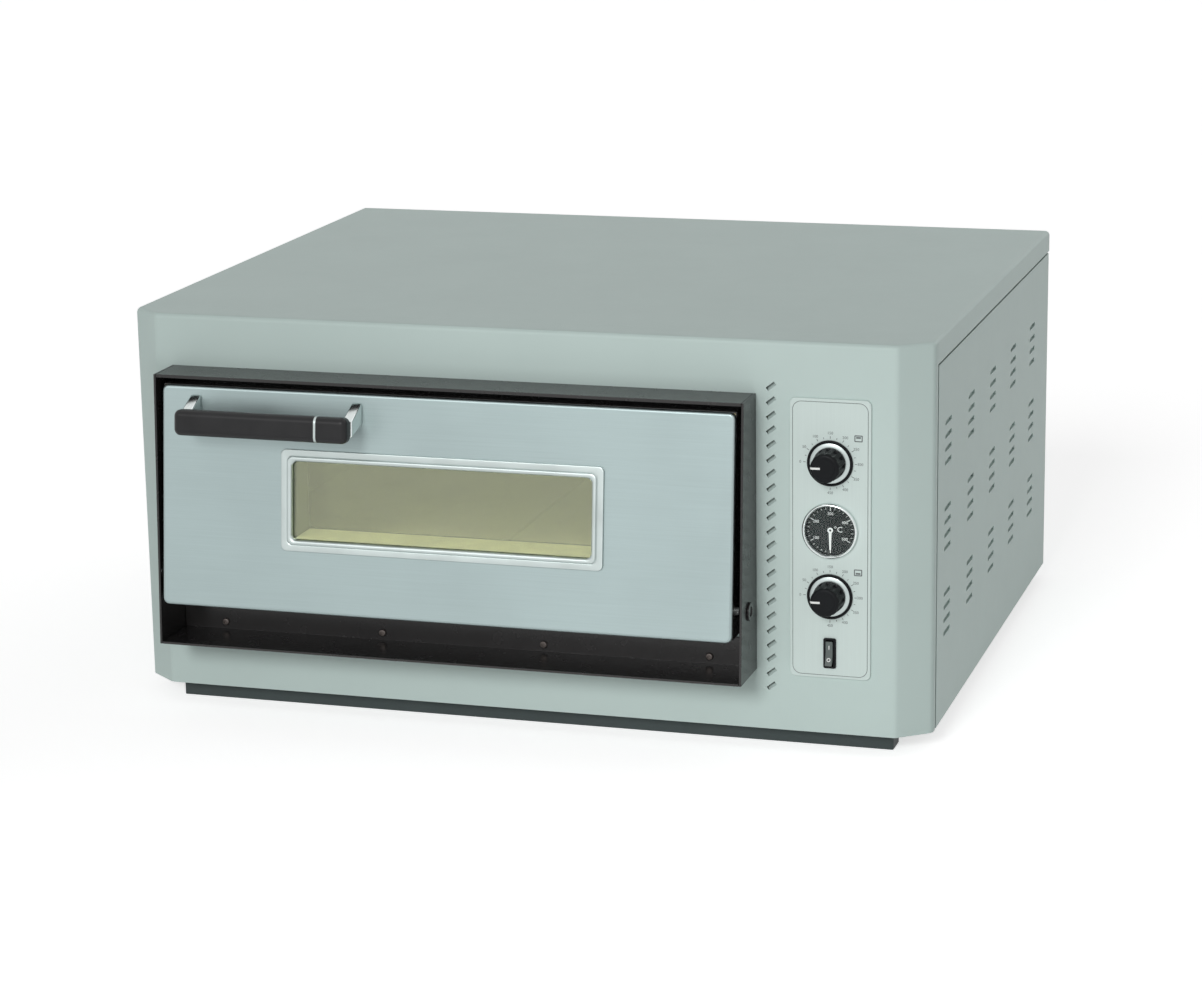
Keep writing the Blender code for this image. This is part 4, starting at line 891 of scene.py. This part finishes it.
def rounded_block(size, radius, segments, place):
    body = bmesh.new()
    bmesh.ops.create_cube(body, size=1.0, matrix=Matrix.Diagonal((*size, 1)))
    round_off(body, body.edges[:], radius, segments)
    bmesh.ops.transform(body, matrix=place, verts=body.verts)
    return body


def make_handle():
    """The grip, with a thin bright band let into it near its right end."""
    place = skin_frame(GRIP_X, GRIP_Z) @ Matrix.Translation((0, 0, FINGER_GAP + GRIP_DEPTH / 2))
    body = rounded_block((GRIP_LENGTH, GRIP_HEIGHT, GRIP_DEPTH), GRIP_RADIUS, GRIP_SEGMENTS, place)
    piece_of(body, "handle_grip_formed", "door", "black_plastic", "handle_grip", finish=GRIP_BLACK)
    proud = 2 * BAND_PROUD
    outer = rounded_rectangle(GRIP_HEIGHT + proud, GRIP_DEPTH + proud, GRIP_RADIUS + BAND_PROUD)
    inner = rounded_rectangle(GRIP_HEIGHT - proud, GRIP_DEPTH - proud, GRIP_RADIUS - BAND_PROUD)
    start = BAND_AT - GRIP_X
    loops = []
    for outline, across in ((outer, 0), (outer, BAND_WIDTH), (inner, BAND_WIDTH), (inner, 0)):
        loops.append([(start + across, y, z) for y, z, _ in outline])
    body = bmesh.new()
    join_loops(body, loops, place, ring=True)
    piece_of(body, "handle_grip_band", "door", "bright_trim", finish=SATIN_TRIM)


def fluted(radius, level, depth_scale):
    """A circle with the knob's flutes cut into it."""
    points = []
    for i in range(KNOB_STEPS):
        turn = 2 * math.pi * i / KNOB_STEPS
        spacing = 2 * math.pi / KNOB_FLUTES
        off = (turn + spacing / 2) % spacing - spacing / 2
        reach = radius
        across = KNOB_R * math.sin(off)
        if abs(across) < KNOB_FLUTE_R:
            cut = KNOB_R * math.cos(off) - math.sqrt(KNOB_FLUTE_R**2 - across**2)
            reach = min(radius, radius + (cut - radius) * depth_scale)
        points.append((reach * math.sin(turn), reach * math.cos(turn), level))
    return points


def make_knob(name, height):
    """A fluted knob with its pointer, its skirt ring and the ring's dark rim, which is partly a
    real black rim and partly painted shade beside the skirt.
    """
    place = front_frame(PLATE_X, height)
    base = KNOB_BASE + KNOB_SKIRT
    top = base + KNOB_HEIGHT
    loops = [fluted(KNOB_R, base + rise, 0) for rise in (0.0, KNOB_FOOT)]
    for i in range(FLUTE_LEVELS + 1):
        rise = FLUTE_START + i / FLUTE_LEVELS * (KNOB_HEIGHT - FLUTE_START - KNOB_EDGE)
        radius = KNOB_R + (KNOB_TOP_R - KNOB_R) * rise / KNOB_HEIGHT
        loops.append(fluted(radius, base + rise, 1))
    for i in range(1, CROWN_LEVELS + 1):
        share = i / CROWN_LEVELS
        turn = math.pi / 2 * share
        radius = KNOB_TOP_R - KNOB_EDGE * (1 - math.cos(turn))
        loops.append(fluted(radius, top - KNOB_EDGE * (1 - math.sin(turn)), 1 - share))
    dish = KNOB_TOP_R - DISH_INSET
    loops.append(circle(dish, top, KNOB_STEPS))
    loops.append(circle(dish - DISH_WALL, top - DISH_DEPTH, KNOB_STEPS))
    body = bmesh.new()
    join_loops(body, loops, place)
    piece_of(body, f"{name}_knob_formed", f"{name}_knob", "black_plastic", f"{name}_knob")

    # The pointer runs over the top and down the side, at nine o'clock when at rest.
    turned = place @ Matrix.Rotation(math.pi / 2, 4, "Z")
    edge = KNOB_TOP_R - KNOB_EDGE
    crown = [(POINTER_START, top - POINTER_PROUD), (edge, top + POINTER_PROUD)]
    bend = KNOB_EDGE + POINTER_PROUD
    for i in range(1, CROWN_LEVELS + 1):
        turn = math.pi / 2 * i / CROWN_LEVELS
        crown.append((edge + bend * math.sin(turn), top - KNOB_EDGE + bend * math.cos(turn)))
    radius = KNOB_R + POINTER_PROUD - (KNOB_R - KNOB_TOP_R) * POINTER_LOW
    crown.append((radius, base + KNOB_HEIGHT * POINTER_LOW))
    half = POINTER_WIDTH / 2
    loops = []
    for radius, level in crown:
        inner, under = radius - POINTER_SUNK / 2, level - POINTER_SUNK
        buried = [(-half, inner, under), (half, inner, under)]
        loops.append([*buried, (half, radius, level), (-half, radius, level)])
    body = bmesh.new()
    join_loops(body, loops, turned)
    piece_of(body, f"{name}_knob_pointer", f"{name}_knob", "needle_white")

    body = bmesh.new()
    profile = [
        (SHAFT_R + 0.0005, KNOB_BASE),
        (KNOB_SKIRT_R - 0.0030, KNOB_BASE),
        (KNOB_SKIRT_R - 0.0030, KNOB_BASE + 0.0017),
        (KNOB_SKIRT_R - 0.0036, KNOB_BASE + 0.0021),
        (KNOB_R + 0.0012, KNOB_BASE + KNOB_SKIRT - 0.0005),
        (KNOB_R + 0.0002, KNOB_BASE + KNOB_SKIRT - 0.0003),
        (SHAFT_R + 0.0005, KNOB_BASE + KNOB_SKIRT - 0.0003),
    ]
    lathe(body, profile, place, SKIRT_STEPS, ring=True)
    piece_of(
        body,
        f"{name}_knob_skirt_formed",
        f"{name}_knob",
        "bright_trim",
        f"{name}_knob_skirt",
        finish=SATIN_TRIM,
    )
    # The black rim round the skirt is partly a real rim and partly painted shade, where the skirt
    # shades the plate.
    body = bmesh.new()
    profile = [
        (KNOB_SKIRT_R - 0.0029, KNOB_BASE),
        (KNOB_SKIRT_R - 0.0003, KNOB_BASE),
        (KNOB_SKIRT_R, KNOB_BASE + 0.0004),
        (KNOB_SKIRT_R, KNOB_BASE + 0.0014),
        (KNOB_SKIRT_R - 0.0005, KNOB_BASE + 0.0021),
        (KNOB_SKIRT_R - 0.0014, KNOB_BASE + 0.0024),
        (KNOB_SKIRT_R - 0.0024, KNOB_BASE + 0.0022),
        (KNOB_SKIRT_R - 0.0029, KNOB_BASE + 0.0018),
    ]
    lathe(body, profile, place, SKIRT_STEPS, ring=True)
    piece_of(body, f"{name}_knob_rim_and_painted_shade", f"{name}_knob", "black_plastic")


def make_plate_print():
    """Scales round the knobs, a mark for each element and a border line, printed on the plate."""
    body = bmesh.new()
    middle = (PLATE_TOP + PLATE_BOTTOM) / 2
    low = PLATE_FRONT + PRINT_LIFT
    high = low + PRINT
    place = front_frame(PLATE_X, middle)
    loops = []
    near, far = BORDER_INSET, BORDER_INSET + BORDER_LINE
    for inset, level in ((near, low), (near, high), (far, high), (far, low)):
        width = PLATE_WIDTH - 2 * inset
        height = PLATE_TOP - PLATE_BOTTOM - 2 * inset
        loops.append(rounded_rectangle(width, height, BORDER_R - inset, level))
    join_loops(body, loops, place, ring=True)
    for name, height in KNOB_Z.items():
        place = front_frame(PLATE_X, height)
        for i in range(SCALE_TICKS):
            turn = POINTER_REST + KNOB_RANGE * i / (SCALE_TICKS - 1)
            numbered = i % SCALE_NUMBER_EVERY == 0
            length = SCALE_LONG if numbered else SCALE_SHORT
            x, y = on_clock(SCALE_R + length / 2, turn)
            slab(body, bar(x, y, SCALE_LINE, length, turn), low, high, place)
            if numbered:
                x, y = on_clock(SCALE_R + SCALE_NUMBER_OUT, turn)
                at = place @ Matrix.Translation((x, y, PLATE_FRONT))
                text_into(body, str(SCALE_STEP * i), SCALE_NUMBER_SIZE, at)
        # A small box with a bar on the side of the element that the knob controls.
        x, y = MARK_AT
        width, height = MARK_WIDTH - 2 * MARK_LINE, MARK_HEIGHT - 2 * MARK_LINE
        loops = [rounded_rectangle(MARK_WIDTH, MARK_HEIGHT, MARK_R, level) for level in (low, high)]
        loops += [rounded_rectangle(width, height, MARK_INNER_R, level) for level in (high, low)]
        join_loops(body, loops, place @ Matrix.Translation((x, y, 0)), ring=True)
        level = y + MARK_BAR_OFF if name == "upper" else y - MARK_BAR_OFF
        slab(body, bar(x, level, *MARK_BAR), low, high, place)
    piece_of(body, "control_plate_print", "oven", "control_plate", finish=PRINT_GREY)


def make_gauge():
    """The thermometer's case with its rolled rim, and the printing on its dial."""
    place = front_frame(PLATE_X, GAUGE_Z)
    inner = GAUGE_CASE_R - GAUGE_WALL
    rim_back = PLATE_FRONT + GAUGE_SEAT
    rim_front = rim_back + GAUGE_PROUD
    profile = [
        (inner, rim_front - GAUGE_RIM_DROP),
        (inner + GAUGE_LIP_WIDTH, rim_front - GAUGE_LIP_DROP),
    ]
    for i in range(GAUGE_RIM_LEVELS + 1):
        turn = math.pi / 2 * i / GAUGE_RIM_LEVELS
        radius = GAUGE_R - GAUGE_RIM_ROUND * (1 - math.sin(turn))
        profile.append((radius, rim_front - GAUGE_RIM_DROP * (1 - math.cos(turn))))
    profile += [
        (GAUGE_R, rim_back),
        (GAUGE_CASE_R, rim_back),
        (GAUGE_CASE_R, -GAUGE_CASE_DEPTH),
        (GAUGE_STEM_R, -GAUGE_CASE_DEPTH),
        (GAUGE_STEM_R, -GAUGE_CASE_DEPTH + GAUGE_WALL),
        (inner, -GAUGE_CASE_DEPTH + GAUGE_WALL),
    ]
    body = bmesh.new()
    lathe(body, profile, place, SKIRT_STEPS, ring=True)
    piece_of(body, "thermometer_case_formed", "oven", "bright_trim", "thermometer_case")

    body = bmesh.new()
    dial_front = rim_front - DIAL_DROP
    low = dial_front + PRINT_LIFT
    high = low + PRINT
    for i in range(DIAL_TICKS):
        turn = NEEDLE_REST + NEEDLE_RANGE * i / (DIAL_TICKS - 1)
        numbered = i % DIAL_NUMBER_EVERY == 0
        width, length = DIAL_LONG if numbered else DIAL_SHORT
        x, y = on_clock(DIAL_SCALE_R - length / 2, turn)
        slab(body, bar(x, y, width, length, turn), low, high, place)
        if numbered:
            x, y = on_clock(DIAL_SCALE_R - DIAL_NUMBER_IN, turn)
            at = place @ Matrix.Translation((x, y, dial_front))
            text_into(body, str(DIAL_STEP * i), DIAL_NUMBER_SIZE, at)
    text_into(body, "\u00b0C", UNIT_SIZE, place @ Matrix.Translation((*UNIT_AT, dial_front)))
    piece_of(body, "thermometer_dial_print", "oven", "needle_white", finish=PRINT_PALE)


def make_switch():
    """A line and a ring on the two halves of the rocker."""
    body = bmesh.new()
    low = PRINT_LIFT
    high = low + PRINT
    place_rocker = Matrix.Translation((PLATE_X, FRONT - PLATE_FRONT - ROCKER_MID, BASE + SWITCH_Z))
    tilt = Matrix.Rotation(-ROCKER_TILT, 4, "X")
    for mark, side in (("line", 1), ("ring", -1)):
        up = Vector((0, -(ROCKER_END - ROCKER_MID), side * ROCKER_HALF)).normalized() * side
        right = Vector((1, 0, 0))
        out = right.cross(up)
        middle = Vector((0, -(ROCKER_END + ROCKER_MID) / 2, side * ROCKER_HALF / 2))
        turn = Matrix((right, up, out)).transposed().to_4x4()
        at = place_rocker @ tilt @ Matrix.Translation(middle) @ turn
        if mark == "line":
            slab(body, bar(0, 0, *ROCKER_LINE), low, high, at)
        else:
            outer, hole = ROCKER_RING_R, ROCKER_RING_HOLE_R
            profile = [(outer, low), (outer, high), (hole, high), (hole, low)]
            lathe(body, profile, at, ROCKER_RING_STEPS, ring=True)
    piece_of(body, "switch_rocker_marks", "switch_rocker", "needle_white")


def screw_head(body, place, radius):
    """A pan head with a six-sided socket."""
    shoulder = SCREW_RISE * SCREW_SHOULDER
    loops = [circle(radius, level, SCREW_STEPS) for level in (0.0, shoulder)]
    for i in range(1, SCREW_DOME_LEVELS + 1):
        turn = math.pi / 2 * i / SCREW_DOME_LEVELS
        pulled_in = radius * SCREW_SHOULDER * (1 - math.cos(turn))
        level = shoulder + (SCREW_RISE - shoulder) * math.sin(turn)
        loops.append(circle(radius - pulled_in, level, SCREW_STEPS))
    for share in (1.0, SCREW_SOCKET_FLOOR):
        loop = []
        for i in range(SCREW_STEPS):
            turn = 2 * math.pi * i / SCREW_STEPS
            facet = (turn + math.pi / 6) % (math.pi / 3) - math.pi / 6
            reach = radius * SCREW_SOCKET / math.cos(facet)
            loop.append((reach * math.sin(turn), reach * math.cos(turn), SCREW_RISE * share))
        loops.append(loop)
    join_loops(body, loops, place)


def make_screws():
    """Screw heads on the cradle's flange and on the rear panel."""
    body = bmesh.new()
    for i in range(CRADLE_SCREWS):
        across = DOOR_X + (i - (CRADLE_SCREWS - 1) / 2) * CRADLE_SCREW_PITCH
        out = Matrix.Translation((0, 0, CRADLE_SHEET + CRADLE_SCREW_SEAT))
        screw_head(body, front_frame(across, CRADLE_SCREW_Z) @ out, CRADLE_SCREW_R)
    piece_of(body, "cradle_screws", "oven", "element_steel")
    body = bmesh.new()
    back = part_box("rear_panel")[1].y + REAR_SCREW_SEAT
    rear = Matrix.Translation((0, back, BASE)) @ Matrix.Rotation(-math.pi / 2, 4, "X")
    for across in REAR_SCREW_ACROSS:
        for height in REAR_SCREW_HEIGHTS:
            screw_head(body, rear @ Matrix.Translation((across, -height, 0)), REAR_SCREW_R)
    piece_of(body, "rear_panel_screws", "oven", "bright_trim")


def blade(body, place, length, height, depth, web=0.0):
    """A lanced blade behind a slot, its upper edge inside, with end webs where asked."""
    half = length / 2
    top = height / 2
    section = [
        (-top - BLADE_SHEET, 0),
        (-top, 0),
        (top, -depth),
        (top + BLADE_SHEET, -depth - BLADE_SHEET),
        (top, -depth - BLADE_SHEET),
        (-top - BLADE_SHEET, -BLADE_SHEET),
    ]
    loops = [[(side * half, up, out) for up, out in section] for side in (-1, 1)]
    join_loops(body, loops, place)
    if web:
        for side in (-1, 1):
            outline = bar(side * (half - web / 2), 0, web, height + WEB_OVERLAP)
            slab(body, outline, -BLADE_SHEET, -WEB_GAP, place)


def make_blades():
    """Painted blades that close the view through the slots."""
    pitch = (VENT_TOP - VENT_BOTTOM) / (VENT_COUNT - 1)
    body = bmesh.new()
    for i in range(VENT_COUNT):
        place = front_frame(VENT_X, VENT_BOTTOM + i * pitch)
        place = place @ Matrix.Translation((0, 0, -SHEET - BLADE_GAP))
        place = place @ Matrix.Rotation(VENT_SLANT, 4, "Z")
        blade(body, place, VENT_LENGTH + VENT_OVERLAP, VENT_HEIGHT, VENT_BLADE_DEPTH)
    piece_of(body, "front_vent_blades", "oven", "casing_paint")
    for name, turn, columns in (
        ("right_side_panel", math.pi / 2, SIDE_COLUMNS),
        ("left_side_panel", -math.pi / 2, SIDE_COLUMNS),
        ("rear_panel", math.pi, REAR_COLUMNS),
    ):
        low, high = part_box(name)
        body = bmesh.new()
        for column in columns:
            for group in range(LOUVRE_GROUPS if name != "rear_panel" else 1):
                for i in range(LOUVRE_PER_GROUP):
                    height = LOUVRE_GROUP_TOP - group * LOUVRE_GROUP_PITCH
                    height += (i - (LOUVRE_PER_GROUP - 1) / 2) * LOUVRE_PITCH_Z
                    if name == "rear_panel":
                        at = (column, low.y - BLADE_GAP, BASE + height)
                    elif name == "right_side_panel":
                        at = (low.x - BLADE_GAP, FRONT + column, BASE + height)
                    else:
                        at = (high.x + BLADE_GAP, FRONT + column, BASE + height)
                    place = Matrix.Translation(at) @ Matrix.Rotation(turn, 4, "Z")
                    place = place @ Matrix.Rotation(math.pi / 2, 4, "X")
                    length = LOUVRE_LENGTH + LOUVRE_OVERLAP
                    blade(body, place, length, LOUVRE_HEIGHT, LOUVRE_BLADE_DEPTH, LOUVRE_WEB)
        piece_of(body, f"{name}_blades", "oven", "casing_paint")


def make_gasket():
    """A twisted rope round the mouth of the chamber, on the door's back."""
    outline = rounded_rectangle(
        GASKET_WIDTH, GASKET_HEIGHT, GASKET_CORNER_R, 0.0, GASKET_CORNER_STEPS
    )
    corners = [Vector((x, y)) for x, y, _ in outline]
    lengths = [0.0]
    for near, far in zip(corners, corners[1:] + corners[:1]):
        lengths.append(lengths[-1] + (far - near).length)
    total = lengths[-1]
    turns = round(total / ROPE_PITCH)
    samples = turns * STEPS_PER_TURN
    strand = GASKET_R * STRAND_SHARE
    reach = GASKET_R - strand
    place = front_frame(DOOR_X, GASKET_Z) @ Matrix.Translation((0, 0, SHELL_BACK / 2))
    body = bmesh.new()
    for first in range(STRANDS):
        path = []
        edge = 0
        for i in range(samples):
            along = total * i / samples
            while lengths[edge + 1] <= along:
                edge += 1
            near = corners[edge]
            far = corners[(edge + 1) % len(corners)]
            ahead = (far - near).normalized()
            point = near + ahead * (along - lengths[edge])
            turn = 2 * math.pi * (turns * i / samples + first / STRANDS)
            out = Vector((ahead.y, -ahead.x)) * reach * math.cos(turn)
            path.append((point.x + out.x, point.y + out.y, reach * math.sin(turn)))
        tube(body, path, strand, STRAND_SIDES, True, place)
    piece_of(body, "door_gasket_rope", "door", "gasket_rope", "door_gasket")


def make_elements():
    """Round rods, bent to and fro under the stones and under the chamber's roof."""
    bend = ELEMENT_PITCH / 2
    first = DOOR_X - (ELEMENT_RUNS - 1) * ELEMENT_PITCH / 2
    for name, height in (("lower", LOWER_ELEMENT_Z), ("upper", UPPER_ELEMENT_Z)):
        path = [(first, ELEMENT_END)]
        for run in range(ELEMENT_RUNS - 1):
            across = first + run * ELEMENT_PITCH
            forward = run % 2 == 0
            level = ELEMENT_FRONT + bend if forward else ELEMENT_TURN - bend
            for i in range(ELEMENT_BEND_STEPS + 1):
                angle = math.pi * i / ELEMENT_BEND_STEPS
                reach = -bend * math.sin(angle) if forward else bend * math.sin(angle)
                path.append((across + bend - bend * math.cos(angle), level + reach))
        path.append((first + (ELEMENT_RUNS - 1) * ELEMENT_PITCH, ELEMENT_END))
        body = bmesh.new()
        tube(body, [(x, FRONT + y, BASE + height) for x, y in path], ELEMENT_R, ELEMENT_SIDES)
        piece_of(body, f"{name}_element_formed", "oven", "element_steel", f"{name}_element")


def finish_nodes():
    """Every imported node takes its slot's finish, and those in sight are eased."""
    for name, slot in SLOT_OF.items():
        NODES[name].data.materials.clear()
        NODES[name].data.materials.append(FINISHES[slot])
    for name, radius in EASED.items():
        eased(name, radius)
    for name, finish in (
        ("window_outer_glass", COATED_GLASS),
        ("window_inner_glass", FINISHES["window_glass"]),
        ("thermometer_glass", GAUGE_GLASS),
    ):
        NODES[name].data.materials[0] = finish
        NODES[name].visible_shadow = False
    # The window sleeve's floor is painted as lit and its walls as shaded.
    NODES["window_sleeve"].data.materials[0] = SLEEVE_PAINTED_LIGHT
    NODES["thermometer_needle"].data.materials[0] = PRINT_PALE


add_camera()
add_sun("key", KEY_AZIMUTH, KEY_ELEVATION, KEY_STRENGTH, KEY_SPREAD)
add_sun("fill", FILL_AZIMUTH, FILL_ELEVATION, FILL_STRENGTH, FILL_SPREAD)
add_panel()
add_world()
add_floor()
finish_nodes()
make_bezel()
make_handle()
for knob, height in KNOB_Z.items():
    make_knob(knob, height)
make_plate_print()
make_gauge()
make_switch()
make_screws()
make_blades()
make_gasket()
make_elements()

bpy.context.scene.view_settings.view_transform = "Standard"
